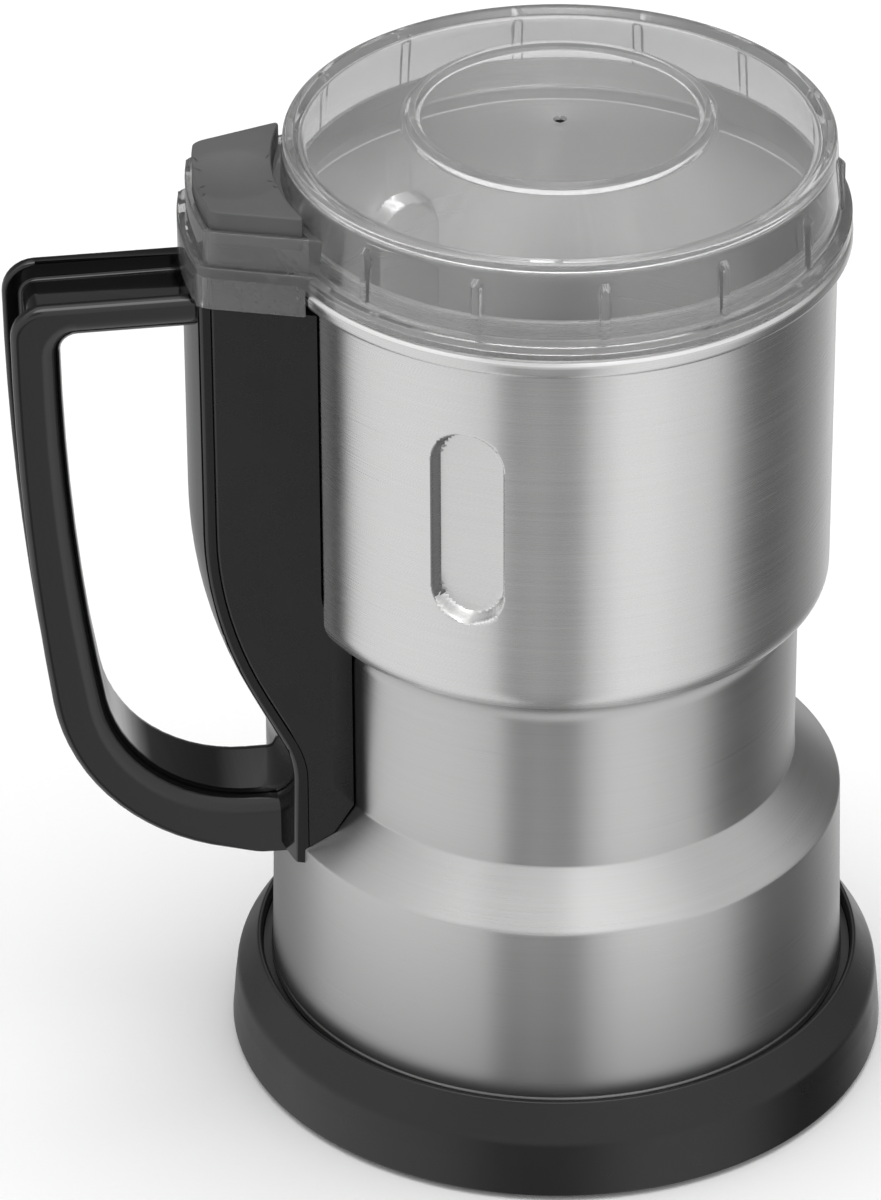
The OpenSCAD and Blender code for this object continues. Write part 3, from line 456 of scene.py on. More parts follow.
def moulded_plastic(name, shade, roughness, grain_depth=0.01, smudge=0.08, **values):
    """Moulded plastic: a fine cast-in grain, faint flow clouds and finger marks in its gloss."""
    finish = Finish(name, Metallic=0.0, **values)
    clouds = finish.grain((0.05, 0.05, 0.05), 3)
    marks = finish.grain((0.16, 0.16, 0.11), 4, 0.62)
    fine = finish.grain((2.6, 2.6, 2.6), 2)
    finish.set("Base Color", finish.blend(clouds, grey(shade * 0.8), grey(shade * 1.2)))
    finish.set("Roughness", finish.clamp(roughness + (marks - 0.5) * smudge * 2
                                         + (fine - 0.5) * 0.05))
    finish.bump(fine, grain_depth, 0.5)
    return finish.material


# Heights over which the painted dark reflection of the ground darkens the steel towards the bottom
PAINTED_FOOT_REFLECTION_Z = (20.0, 54.0)


def brushed_sheet(name, shade, roughness, streak, foot=1.0, press=1.0):
    """Steel sheet brushed round the axis: long fine lines, cloudy gloss, a few deeper scratches.
    Streak is how far its glints are drawn out upwards. Foot is how much of its shade it keeps near
    the ground, as a painted dark reflection of the ground; press is how much it keeps on a dimple's
    near wall, as painted shade on one side of each dimple."""
    finish = Finish(name, Metallic=1.0, Anisotropic=streak, Anisotropic_Rotation=0.25)
    hair = finish.grain((0.012, 0.012, 7.0), 3, 0.7)
    coarse = finish.grain((0.024, 0.024, 1.54), 2)
    clouds = finish.grain((0.03, 0.03, 0.05), 3)
    scratch = finish.clamp((finish.grain((0.04, 0.04, 3.1), 1) - 0.69) * 14)
    tone = finish.clamp(0.5 + (hair - 0.5) * 1.1 + (coarse - 0.5) * 0.35 + (clouds - 0.5) * 0.4)
    colour = finish.blend(tone, grey(shade * 0.93, 0.003), grey(shade * 1.07, 0.005))
    # Painted dark reflection of the ground: the colour darkens towards the bottom of the piece
    if foot < 1:
        height = finish.parts(finish.place())[2]
        low, high = PAINTED_FOOT_REFLECTION_Z
        colour = finish.blend(finish.clamp((high - height) / (high - low)), colour,
                              grey(shade * foot))
    # Painted shade on one side of each dimple: walls whose faces turn one way round the axis are
    # darkened
    if press < 1:
        x, y = finish.parts(finish.place())[:2]
        face_x, face_y = finish.parts(finish.add("ShaderNodeNewGeometry", out=1))[:2]
        turned = (x * face_y - y * face_x) / (x * x + y * y) ** 0.5
        colour = finish.blend(finish.clamp((turned - 0.25) * 2), colour, grey(shade * press))
    finish.set("Base Color", colour)
    finish.set("Roughness", finish.clamp(roughness + (hair - 0.5) * 0.12 + (clouds - 0.5) * 0.08
                                         + scratch * 0.05))
    finish.bump(hair + scratch * 0.6, 0.004, 0.16)
    return finish.material


def ground_steel(name, shade, roughness):
    """Blade steel with the marks of a grinding wheel."""
    finish = Finish(name, Metallic=1.0)
    marks = finish.grain((3.0, 0.05, 0.05), 2, 0.7)
    clouds = finish.grain((0.12, 0.12, 0.12), 3)
    finish.set("Base Color", finish.blend(clouds, grey(shade * 0.85), grey(shade * 1.05)))
    finish.set("Roughness", finish.clamp(roughness + (marks - 0.5) * 0.25 + (clouds - 0.5) * 0.1))
    finish.bump(marks, 0.006, 0.5)
    return finish.material


def plain_metal(name, colour, roughness):
    """Plated, cast or rolled metal with cloudy gloss and a fine tooth."""
    finish = Finish(name, Metallic=1.0)
    clouds = finish.grain((0.22, 0.22, 0.22), 4, 0.6)
    fine = finish.grain((3.1, 3.1, 3.1), 2)
    dark = tuple(0.7 * c for c in colour) + (1,)
    finish.set("Base Color", finish.blend(finish.clamp(clouds + 0.1), dark, colour + (1,)))
    finish.set("Roughness", finish.clamp(roughness + (clouds - 0.5) * 0.2 + (fine - 0.5) * 0.08))
    finish.bump(fine, 0.008, 0.4)
    return finish.material


def wound_wire(name, colour, dark, pitch=1.6):
    """Varnished wire or stacked sheet: fine turns, with painted highlight on their crowns and
    painted shade between them.
    """
    finish = Finish(name, Metallic=0.7)
    turns = finish.parts(finish.place((pitch, pitch, pitch)))[2] * (2 * math.pi)
    ridge = finish.add("ShaderNodeMath", {"operation": "SINE"}, i0=turns) * 0.5 + 0.5
    mess = finish.grain((0.4, 0.4, 1.2), 3)
    # Painted highlight on the crowns of the turns and painted shade between them, mixed with random
    # tone
    finish.set("Base Color", finish.blend(finish.clamp(ridge * 0.7 + mess * 0.4), dark + (1,),
                                          colour + (1,)))
    finish.set("Roughness", finish.clamp(0.3 + mess * 0.3))
    finish.bump(ridge, 0.12, 0.6)
    return finish.material


SKIRT_RADIUS = 48.0
SKIRT_TOP = 188.4


def clear_moulding(name):
    """Clear polished plastic, smoky in the skirt, with slow ripples and a few rub marks."""
    finish = Finish(name, Metallic=0.0, IOR=1.49, Transmission_Weight=0.87)
    ripple = finish.grain((0.035, 0.035, 0.05), 2)
    rubs = finish.grain((0.35, 0.35, 0.1), 4, 0.7)
    x, y, z = finish.parts(finish.place())
    outwards = (x * x + y * y) ** 0.5 - SKIRT_RADIUS
    skirt = finish.clamp(outwards) * finish.clamp((SKIRT_TOP - z) / 1.5)
    clear = finish.blend(ripple, grey(0.94), grey(0.98))
    finish.set("Base Color", finish.blend(skirt, clear, grey(0.56)))
    finish.set("Roughness", finish.clamp((rubs - 0.52) * 0.3, 0.015, 0.09))
    finish.bump(ripple, 0.05, 0.3)
    return finish.material


def make_finishes():
    """One finish for each material slot of the record, and two for marked faces."""
    return {
        "base_plastic": moulded_plastic("base satin black", 0.007, 0.3, 0.006),
        "rubber": moulded_plastic("black rubber", 0.014, 0.72, 0.02),
        # The housing's foot setting paints a dark reflection of the ground near its bottom
        "steel_sheet": brushed_sheet("housing brushed steel", 0.56, 0.3, 0.92, foot=0.66),
        # The bowl's inside: the same steel as its outside, painted lighter as painted light where
        # the lid keeps light out
        "bowl_inside_painted_light": brushed_sheet("bowl inside brushed steel painted lighter", 0.93, 0.3, 0.7),
        "gate_mark": plain_metal("gate mark", (0.006, 0.006, 0.006), 0.5),
        # The bowl's press setting paints shade on one side of each dimple's wall
        "bowl_steel": brushed_sheet("bowl brushed steel", 0.7, 0.27, 0.92, press=0.3),
        "blade_steel": ground_steel("ground blade steel", 0.66, 0.26),
        "screw_steel": plain_metal("plated screw steel", (0.55, 0.55, 0.56), 0.3),
        "spring_steel": plain_metal("drawn spring wire", (0.5, 0.5, 0.52), 0.28),
        "bracket_metal": plain_metal("die cast bracket", (0.6, 0.6, 0.62), 0.5),
        "inner_plastic": moulded_plastic("grey inner plastic", 0.1, 0.5, 0.01),
        "laminations": wound_wire("stacked core sheets", (0.32, 0.32, 0.34), (0.1, 0.1, 0.1), 1.0),
        "copper": wound_wire("varnished copper wire", (0.62, 0.3, 0.13), (0.2, 0.07, 0.03)),
        "brass": plain_metal("pressed brass", (0.72, 0.56, 0.26), 0.35),
        "carbon": moulded_plastic("brush carbon", 0.03, 0.6, 0.02),
        "column_plastic": moulded_plastic("column satin black", 0.008, 0.28, 0.004),
        "grip_plastic": moulded_plastic("grip gloss black", 0.003, 0.1, 0.0006, 0.03,
                                        Coat_Weight=0.3, Coat_Roughness=0.05),
        "clear_plastic": clear_moulding("lid clear plastic"),
        "button_plastic": moulded_plastic("button satin black", 0.09, 0.42, 0.008),
        "plunger_plastic": moulded_plastic("red plunger plastic", 0.2, 0.4, 0.004),
        "capacitor_case": moulded_plastic("capacitor case", 0.25, 0.4, 0.01),
    }


# ---------------------------------------------------------- base, housing

def make_base_ring():
    line = rounded_line([(60.2, 0.8, 0), (61.5, 0.8, 0.6), (60.9, 7.9, 8.0), (60.4, 12.2, 3.6),
                         (55.6, 20.0, 0.6), (55.6, 16.0, 0.3), (52.5, 16.0, 0.2), (52.5, 24.0, 0.4),
                         (50.7, 24.0, 0.4), (50.7, 13.8, 0.2), (56.2, 13.8, 1.0), (58.4, 9.6, 1.0),
                         (59.3, 0.8, 0.2), (60.2, 0.8, 0)])
    ring = turn_on_lathe("base_ring_moulding", propped_line(line))
    work(ring, point_back(rounded_bar("cord_hole", 4.2, 54.0, 64.0)), "DIFFERENCE")
    settle(soft_shade(ring), "grinder", "base_ring")


def make_foot_ring():
    line = rounded_line([(54.0, 0, 0), (56.5, 0, 0.4), (56.5, 1.4, 0.1), (51.5, 1.4, 0.1),
                         (51.5, 0, 0.4), (54.0, 0, 0)])
    foot = soft_shade(turn_on_lathe("foot_ring", propped_line(line, 0.2), 160))
    settle(foot, "grinder", "rubber_foot")


def make_cord_bush():
    line = rounded_line([(3.6, 55.6, 0), (4.9, 55.6, 0.1), (4.9, 56.8, 0.1), (4.15, 56.8, 0.1),
                         (4.15, 60.5, 0.4), (3.1, 60.5, 0.4), (3.1, 55.6, 0.1), (3.6, 55.6, 0)])
    bush = soft_shade(point_back(turn_on_lathe("cord_bush", line, 64)))
    settle(bush, "grinder", "cord_gland")


def make_housing():
    """Drawn steel sheet: hemmed foot, straight skirt, cone shoulder, neck with a rolled top."""
    line = rounded_line([(53.2, 16.05, 0), (53.9, 16.05, 0.3), (53.86, 17.3, 0.4),
                         (53.6, 17.7, 0.3), (52.8, SHOULDER_Z, 0.9), (NECK_R, NECK_FOOT_Z, 0.6),
                         (NECK_R, NECK_TOP, 3.0), (37.0, NECK_TOP, 0.2), (37.0, 95.0, 0.2),
                         (43.1, 95.0, 2.0), (43.1, 62.5, 1.5), (51.8, 53.6, 1.5),
                         (52.8, 16.05, 0.2), (53.2, 16.05, 0)])
    shell = soft_shade(turn_on_lathe("housing_shell", propped_line(line)))
    settle(shell, "grinder", "motor_housing")


def make_gasket():
    line = rounded_line([(39.0, NECK_TOP, 0), (41.0, NECK_TOP, 0.4), (41.0, BOWL_Z, 0.4),
                         (37.0, BOWL_Z, 0.4), (37.0, NECK_TOP, 0.4), (39.0, NECK_TOP, 0)])
    seat = soft_shade(turn_on_lathe("bowl_seat", line, 160))
    settle(seat, "grinder", "bowl_gasket")


# ------------------------------------------------------------------- bowl

DIMPLE_Z = 135.1
DIMPLE_HALF = 6.4
DIMPLE_RUN = 12.5
DIMPLE_WAYS = (0.0, 118.0, 242.0)
DIMPLE_FLOOR = 46.6
DIMPLE_FLAT = 13.0
DIMPLE_SWEEP = 22.0
WALL_MIDDLE = 49.1
SHEET = 1.0


def inside_stadium(across, up, half, run):
    """How far a point lies inside an upright slot with round ends."""
    return half - math.hypot(across, max(abs(up) - run, 0.0))


def press_dimples(place):
    """Moves a point of the bowl's wall in to a dimple's flat floor, over a short steep edge."""
    radius = math.hypot(place.x, place.y)
    if radius < 45 or abs(place.z - DIMPLE_Z) > 22:
        return place
    inner = radius < WALL_MIDDLE
    half = DIMPLE_HALF + (0.7 if inner else 0.0)
    floor = DIMPLE_FLOOR - (SHEET if inner else 0.0)
    for dimple in DIMPLE_WAYS:
        turn = math.radians(dimple)
        way = Vector((math.cos(turn), math.sin(turn), 0))
        across = Vector((-way.y, way.x, 0)).dot(place)
        out = way.dot(place)
        if out >= 40:
            edge = inside_stadium(across, place.z - DIMPLE_Z, half, DIMPLE_RUN)
            place = place - way * (out - floor) * smooth_step((edge + 0.5) / 1.15)
    return place


def dimple_rows(step):
    """Heights for the bowl's wall: close together at the round ends of the dimples."""
    ends = [DIMPLE_RUN - 1.5 + step * k for k in range(int(9.5 / step))]
    middle = [DIMPLE_Z + 2 * k for k in range(-5, 6)]
    return middle + [DIMPLE_Z + way * end for way in (-1, 1) for end in ends]


def make_bowl():
    """Deep-drawn bowl: round corner, straight wall with three dimples, bead and upright rim."""
    outside = rounded_line([(7.15, BOWL_Z, 0), (38.2, BOWL_Z, 0), (49.6, BOWL_Z, 11.4),
                            (49.6, 167.6, 0.5), (51.0, 168.2, 0.5), (52.2, 169.0, 1.2),
                            (52.2, 172.0, 1.9), (48.5, 172.0, 0.5), (47.8, 172.7, 0.5),
                            (47.8, RIM_Z, 0.4), (46.8, RIM_Z, 0.4)], 8.0)
    floor = BOWL_Z + SHEET
    inside = rounded_line([(46.8, RIM_Z - 0.5, 0), (46.8, 172.0, 0.8), (48.0, 171.2, 0.4),
                           (51.2, 171.2, 1.0), (51.2, 169.2, 0.8), (48.6, 168.2, 0.5),
                           (48.6, floor, 10.4), (7.15, floor, 0.1), (7.15, BOWL_Z, 0)], 8.0)
    edge = (DIMPLE_SWEEP - DIMPLE_FLAT) / 2
    dimple = [(edge, 24), (DIMPLE_FLAT, 18), (edge, 24)]
    stretches = []
    for here, there in zip(DIMPLE_WAYS, DIMPLE_WAYS[1:] + (360.0,)):
        stretches = dimple + [(there - here - DIMPLE_SWEEP, 34)] + stretches
    bowl = turn_on_lathe("bowl_shell", propped_line(outside, rows=dimple_rows(0.25))
                         + propped_line(inside, rows=dimple_rows(0.5)),
                         start=DIMPLE_SWEEP / 2, stretches=stretches)
    move_points(bowl, press_dimples)
    settle(soft_shade(bowl, 40), "grinder", "grinding_bowl")

    def is_inside(spot, way):
        return spot.z < 177.5 and (way.z > 0.4 or spot.x * way.x + spot.y * way.y < -2)

    # Faces inside the bowl get the lighter copy of its steel, as painted light
    mark_faces(bowl, "bowl_inside_painted_light", is_inside)


SCREW_CIRCLE = 16
SCREW_TOP = 100.3
SLOT_LENGTH, SLOT_WIDTH, SLOT_DEPTH = 4.0, 0.8, 1.1


def cross_slot(spot, way):
    """A narrow cutter for the recess of a screw at spot."""
    turn = Matrix.Rotation(way, 3, "Z")
    x, y = SLOT_LENGTH / 2, SLOT_WIDTH / 2
    outline = [turn @ Vector((a * x, b * y, 0)) for a, b in ((-1, -1), (1, -1), (1, 1), (-1, 1))]
    return pull_outline("slot_cutter", outline, Vector((*spot, SCREW_TOP - SLOT_DEPTH)),
                        Vector((0, 0, 2 * SLOT_DEPTH)))


def make_bowl_screws():
    heads = []
    for k in range(3):
        way = math.radians(30 + 120 * k)
        spot = (SCREW_CIRCLE * math.cos(way), SCREW_CIRCLE * math.sin(way))
        head = rounded_bar(f"bowl_screw_{k}", 3.5, 98.15, SCREW_TOP, spot, 0.7, steps=40)
        for turn in (0, 90):
            work(head, cross_slot(spot, way + math.radians(turn)), "DIFFERENCE")
        heads.append(head)
    screws = soft_shade(join_pieces("bowl_screw_heads", heads))
    settle(screws, "grinder", "bowl_screws")


def make_shaft_seal():
    line = rounded_line([(3.05, 102.2, 0), (6.2, 102.2, 0), (7.05, 102.1, 0.1),
                         (7.05, 98.15, 0.1), (8.4, 98.15, 0.2), (8.4, 102.9, 0.5),
                         (6.2, 102.9, 0.4), (6.2, 104.7, 0.6), (3.05, 104.7, 0.3),
                         (3.05, 102.2, 0)])
    seal = turn_on_lathe("blade_shaft_seal", line, 96)
    settle(soft_shade(seal), "grinder", "shaft_seal")


# ----------------------------------------------------------------- blades

LOWER_BLADE_Z = 107.4
UPPER_BLADE_Z = 108.9
NUT_Z = 111.4
NUT_TOP = 116.4
BLADE_REACH = 37.0
BLADE_FLAT = 12.0
BLADE_THICK = 1.5
BLADE_BORE = 3.0
GRIND_START = 3.2
GRIND_WIDTH = 2.2
GRIND_DEPTH = 1.15


def make_blade(name, node, low, rise, turn):
    """A two-armed blade: bent arms, clipped tips and a ground slope along each leading edge."""
    arm = [(31, -5.5), (37, -2.2), (37, 1.4), (12, 5.5)]
    outline = [Vector((x * s, y * s, 0)) for s in (1, -1) for x, y in arm]
    blade = pull_outline(name, outline, Vector((0, 0, low)), Vector((0, 0, BLADE_THICK)))
    pick(blade)
    bpy.ops.object.mode_set(mode="EDIT")
    cuts = [((side * BLADE_FLAT * MM, 0, 0), (1, 0, 0)) for side in (1, -1)]
    cuts += [((0, -side * GRIND_START * MM, 0), (0, 1, 0)) for side in (1, -1)]
    for spot, way in cuts:
        bpy.ops.mesh.select_all(action="SELECT")
        bpy.ops.mesh.bisect(plane_co=spot, plane_no=way)
    bpy.ops.object.mode_set(mode="OBJECT")

    def shape(place):
        out = abs(place.x)
        lead = -place.y if place.x > 0 else place.y
        top = place.z > low + BLADE_THICK / 2
        ground = clip((out - 9) / 3) * clip((lead - GRIND_START) / GRIND_WIDTH)
        lift = rise * max(0.0, out - BLADE_FLAT) / (BLADE_REACH - BLADE_FLAT)
        return place + Vector((0, 0, lift - (GRIND_DEPTH * ground if top else 0.0)))

    move_points(blade, shape)
    bevel_edges(blade, 0.12, lambda edge: True, 1)
    hole = rounded_bar("blade_hole", BLADE_BORE, low - 1, low + BLADE_THICK + 1)
    work(blade, hole, "DIFFERENCE")
    blade.data.transform(Matrix.Rotation(math.radians(turn), 4, "Z"))
    settle(soft_shade(blade, 20), "rotor", node)


def make_blade_stack():
    """Spacer under the blades, washer and six-sided nut with turned corners on top of them."""
    spacer = rounded_bar("spacer_sleeve", 6.0, 105.0, LOWER_BLADE_Z, hole=BLADE_BORE)
    settle(soft_shade(spacer), "rotor", "blade_spacer")
    washer = rounded_bar("nut_washer", 6.0, 110.4, NUT_Z, edge=0.25, hole=BLADE_BORE)
    settle(soft_shade(washer), "rotor", "blade_washer")
    nut = rounded_bar("nut_blank", 5.77, NUT_Z, NUT_TOP, edge=0.1, steps=6)
    soften = rounded_bar("nut_turning", 5.6, NUT_Z, NUT_TOP, edge=0.9)
    move_points(soften, lambda place: Vector((place.x * 1.025, place.y * 1.025, place.z)))
    work(nut, soften, "INTERSECT")
    work(nut, rounded_bar("nut_hole", BLADE_BORE, 110, 118), "DIFFERENCE")
    nut.name = "lock_nut"
    settle(soft_shade(nut, 25), "rotor", "blade_nut")


# ----------------------------------------------------------------- handle

# The column's half width at radius FLARE_AT, and how much its sides open towards the bowl
COLUMN_HALF = 12.5
FLARE_AT = 66.0
FLARE = 0.336
FLARE_END = 90.0
COLUMN_R = 67.3
COLUMN_FOOT_R = 54.1
STRIP = 1.8
STRIP_GAP = 0.15


def column_outside(inset, low, high):
    """The column's outer side line, drawn in by inset."""
    lean, high_r, low_r, bend_z, foot_r = 25.0, 80.0, 18.0, 118.8, COLUMN_FOOT_R
    top_r = COLUMN_R - high_r * (1 - math.cos(math.radians(lean)))
    top_z = bend_z - high_r * math.sin(math.radians(lean))
    foot_top_r = foot_r + low_r * (1 - math.cos(math.radians(lean)))
    foot_z = top_z - (top_r - foot_top_r) / math.tan(math.radians(lean))
    foot_z -= low_r * math.sin(math.radians(lean))
    line = [Vector((foot_r - inset, low))]
    line += arc_line(foot_r + low_r, foot_z, low_r + inset, 180, 180 - lean, 8)
    line += arc_line(COLUMN_R - high_r, bend_z, high_r - inset, -lean, 0, 10)
    return line + [Vector((COLUMN_R - inset, high))]


def column_inside(gap, foot_r, high):
    """The column's inner side line: it stands off housing and bowl by gap, and starts at foot_r."""
    cone_r, cone_z = NECK_R + gap, NECK_FOOT_Z + 0.414 * gap
    slope = (cone_z - SHOULDER_Z - 0.414 * gap + 0.4) / 8.7
    line = [Vector((foot_r, cone_z - (foot_r - cone_r) * slope)), Vector((cone_r, cone_z)),
            Vector((cone_r, 96.9 - gap / 2))]
    line += arc_line(38.1, 108.6, 11.5 + gap, -60, 0, 8)
    return line + [Vector((49.6 + gap, high))]


def flared_turning(name, line, half=COLUMN_HALF, low=40):
    """A part turn on the handle's side, cut to flared sides from a height upwards."""
    turning = turn_on_lathe(name, line, 48, 48.0)
    near, far = half + FLARE_AT * FLARE, half - (FLARE_END - FLARE_AT) * FLARE
    outline = [Vector((x, y, 0)) for x, y in ((0, near), (-FLARE_END, far), (-FLARE_END, -far),
                                              (0, -near))]
    block = pull_outline("flared_block", outline, Vector((0, 0, low)), Vector((0, 0, 180 - low)))
    return work(turning, block, "INTERSECT")


def make_column():
    """The satin spine between handle and bowl, with its spigot under the lid's ear."""
    inner = column_inside(0.3, COLUMN_FOOT_R - STRIP - STRIP_GAP, LAP_Z)
    outer = column_outside(STRIP + STRIP_GAP, inner[0].y, LAP_Z)[1:]
    column = flared_turning("column_shell", outer + list(reversed(inner)) + outer[:1])
    bevel_edges(column, 0.5, lambda edge: is_upright(edge, 0.3) and middle_of(edge).x < -53, 3)
    corners = ((52.5, 165.5), (64.9, 165.5), (64.9, 171.5), (52.5, 171.5), (52.5, 165.5))
    spigot = flared_turning("column_spigot", [Vector(p) for p in corners], COLUMN_HALF - 0.6, 160)
    bevel_edges(spigot, 0.4, lambda edge: middle_of(edge).z > 168, 2)
    work(column, spigot, "UNION")
    work(column, rounded_bar("rod_pocket", 4.5, 162.3, 174, (ROD_X, 0)), "DIFFERENCE")
    soft_shade(column, 30, flats=True)
    settle(column, "grinder", "handle_column")


GRIP_HALF = 10.25
BAR_TOP = 166.3
BAR_LOW = 159.7
GRIP_REACH = 99.1
GRIP_START = 50.0
CHANNEL_START = 61.0
CHANNEL_RIM = 3.0
CHANNEL_DEPTH = 3.4


def grip_side_line():
    """The handle seen from the side: out along its outer edge, back along the finger opening."""
    low_z, bend_z, sweep_r = 48.2, 84.0, 590.0
    lean = math.degrees(math.asin((BAR_TOP - 6 - bend_z) / sweep_r))
    bend_r = (bend_z - low_z) / (1 - math.sin(math.radians(lean)))
    bend_x = GRIP_REACH - sweep_r * (1 - math.cos(math.radians(lean)))
    outer = [Vector((GRIP_START, BAR_TOP)), Vector((CHANNEL_START, BAR_TOP))]
    outer += arc_line(GRIP_REACH - 6, BAR_TOP - 6, 6, 90, 0, 8)
    outer += arc_line(GRIP_REACH - sweep_r, BAR_TOP - 6, sweep_r, 0, -lean, 8)[1:]
    outer += arc_line(bend_x - bend_r * math.cos(math.radians(lean)),
                      bend_z + bend_r * math.sin(math.radians(lean)), bend_r, -lean, -90, 18)[1:]
    outer.append(Vector((GRIP_START, low_z)))
    in_low, in_bend, in_r, top_z = 60.2, 83.0, 453.0, BAR_LOW - 3
    lean = math.degrees(math.asin((top_z - in_bend) / in_r))
    bend_r = (in_bend - in_low) / (1 - math.sin(math.radians(lean)))
    bend_x = GRIP_REACH - 8.9 - in_r * (1 - math.cos(math.radians(lean)))
    inner = [Vector((GRIP_START, BAR_LOW))]
    inner += arc_line(GRIP_REACH - 11.9, top_z, 3, 90, 0, 6)
    inner += arc_line(GRIP_REACH - 8.9 - in_r, top_z, in_r, 0, -lean, 8)[1:]
    inner += arc_line(bend_x - bend_r * math.cos(math.radians(lean)),
                      in_bend + bend_r * math.sin(math.radians(lean)), bend_r, -lean, -90, 14)[1:]
    inner.append(Vector((GRIP_START, in_low)))
    return outer, list(reversed(inner))


def wall_way(spot, face):
    """Above 0 on an outer wall of the grip, below 0 in its finger opening, and 0 on a side."""
    if abs(face.normal.y) >= 0.1:
        return 0
    return Vector((spot.x + 76, 0, spot.z - 110)).dot(face.normal)


def make_grip():
    """The glossy D-handle: a rounded bar with a channelled outer face, and the column's strip."""
    outer, inner = grip_side_line()
    outline = [Vector((-p.x, -GRIP_HALF, p.y)) for p in outer + inner]
    grip = pull_outline("grip_bow", outline, Vector((0, 0, 0)), Vector((0, 2 * GRIP_HALF, 0)))
    pick(grip)
    bpy.ops.object.mode_set(mode="EDIT")

    def on_outer_wall(face):
        middle = face.calc_center_median() / MM
        return middle.x < -CHANNEL_START and wall_way(middle, face) > 0

    choose(grip, "FACE", on_outer_wall)
    bpy.ops.mesh.inset(thickness=CHANNEL_RIM * MM, depth=0, use_boundary=True,
                       use_even_offset=True)
    bpy.ops.mesh.extrude_region_shrink_fatten(
        TRANSFORM_OT_shrink_fatten={"value": -CHANNEL_DEPTH * MM})
    bpy.ops.object.mode_set(mode="OBJECT")
    side = GRIP_HALF - 0.05

    def on_side(edge):
        return all(abs(v.co.y / MM) > side for v in edge.verts)

    def is_opening(edge):
        return any(wall_way(middle_of(edge), face) < 0 for face in edge.link_faces)

    def is_outer(edge):
        return on_side(edge) and not is_opening(edge) and middle_of(edge).x < -60

    def on_channel(edge):
        return abs(abs(middle_of(edge).y) - (GRIP_HALF - CHANNEL_RIM)) < 0.1

    bevel_edges(grip, 3.8, lambda edge: on_side(edge) and is_opening(edge), 7)
    bevel_edges(grip, 1.3, is_outer)
    bevel_edges(grip, 0.7, on_channel, 3)
    strip_line = column_outside(0, COLUMN_FOOT_Z, LAP_Z)
    strip_back = column_outside(STRIP, COLUMN_FOOT_Z, LAP_Z)
    strip = flared_turning("grip_strip", strip_line + list(reversed(strip_back)) + strip_line[:1])

    def on_strip_front(edge):
        spot = middle_of(edge)
        return is_upright(edge, 0.3) and math.hypot(spot.x, spot.y) > column_radius(spot.z) - 0.6

    bevel_edges(strip, 0.7, on_strip_front, 3)
    limit = turn_on_lathe("column_core", [Vector((0, 40))] + column_outside(1.0, 40, 175)
                          + [Vector((0, 175))], 192)
    work(grip, limit, "DIFFERENCE")
    work(grip, strip, "UNION")
    soft_shade(grip, 35, flats=True)
    settle(grip, "grinder", "handle_grip")


def column_radius(height):
    """Outer radius of the column at a height."""
    line = column_outside(0, COLUMN_FOOT_Z, LAP_Z)
    for low, high in zip(line, line[1:]):
        if low.y <= height <= high.y and high.y > low.y:
            return low.x + (high.x - low.x) * (height - low.y) / (high.y - low.y)
    return line[-1].x if height > line[-1].y else line[0].x


# -------------------------------------------------------------------- lid

RIB_PLACES = 14
RIB_HALF = 0.9
RIB_RUN = 4.1
RIB_Z = 180.2
RIB_OUT = 50.5
RIB_SWEEP = 3.4
RIB_PITCH = 360 / RIB_PLACES
EAR_SKIP = 24.0


def raise_ribs(place):
    """Moves a point of the lid's skirt out where a grip rib stands."""
    radius = math.hypot(place.x, place.y)
    if radius < 48.9 or not 174.4 < place.z < 185.6:
        return place
    way = math.degrees(math.atan2(place.y, place.x)) % 360
    rib = (math.floor(way / RIB_PITCH) + 0.5) * RIB_PITCH
    if abs(rib - 180) <= EAR_SKIP:
        return place
    across = radius * math.sin(math.radians(way - rib))
    edge = inside_stadium(across, place.z - RIB_Z, RIB_HALF, RIB_RUN)
    grow = 1 + smooth_step((edge + 0.2) / 0.5) * (RIB_OUT - radius) / radius
    return Vector((place.x * grow, place.y * grow, place.z))


def wedge_outline(half, near, far):
    """Plan of a block between two radii and the column's flared sides."""
    def way_at(radius):
        low, high = 0.0, 60.0
        for _ in range(40):
            mid = (low + high) / 2
            x, y = radius * math.cos(math.radians(mid)), radius * math.sin(math.radians(mid))
            if y < half + (FLARE_AT - x) * FLARE:
                low = mid
            else:
                high = mid
        return low
    edge = way_at(far)
    outline = arc_line(0, 0, far, 180 - edge, 180 + edge, 24)
    edge = way_at(near)
    outline += arc_line(0, 0, near, 180 + edge, 180 - edge, 24)
    return [Vector((p.x, p.y, 0)) for p in outline]


def wedge_block(name, half, near, far, low, high, corner, rim=0.0, foot=0.0):
    """A block of the ear: rounded outer corners, then a rounded upper rim and lower edge."""
    block = pull_outline(name, wedge_outline(half, near, far), Vector((0, 0, low)),
                         Vector((0, 0, high - low)))
    bevel_edges(block, corner, lambda edge: is_upright(edge) and middle_of(edge).x < -near - 1, 6)
    for radius, level in ((rim, high), (foot, low)):
        if radius:
            bevel_edges(block, radius, lambda edge: abs(middle_of(edge).z - level) < 0.01
                        and is_clear_of(edge, near))
    return block


def is_clear_of(edge, near):
    """Whether an edge lies farther out than the radius near."""
    spot = middle_of(edge)
    return math.hypot(spot.x, spot.y) > near + 0.3


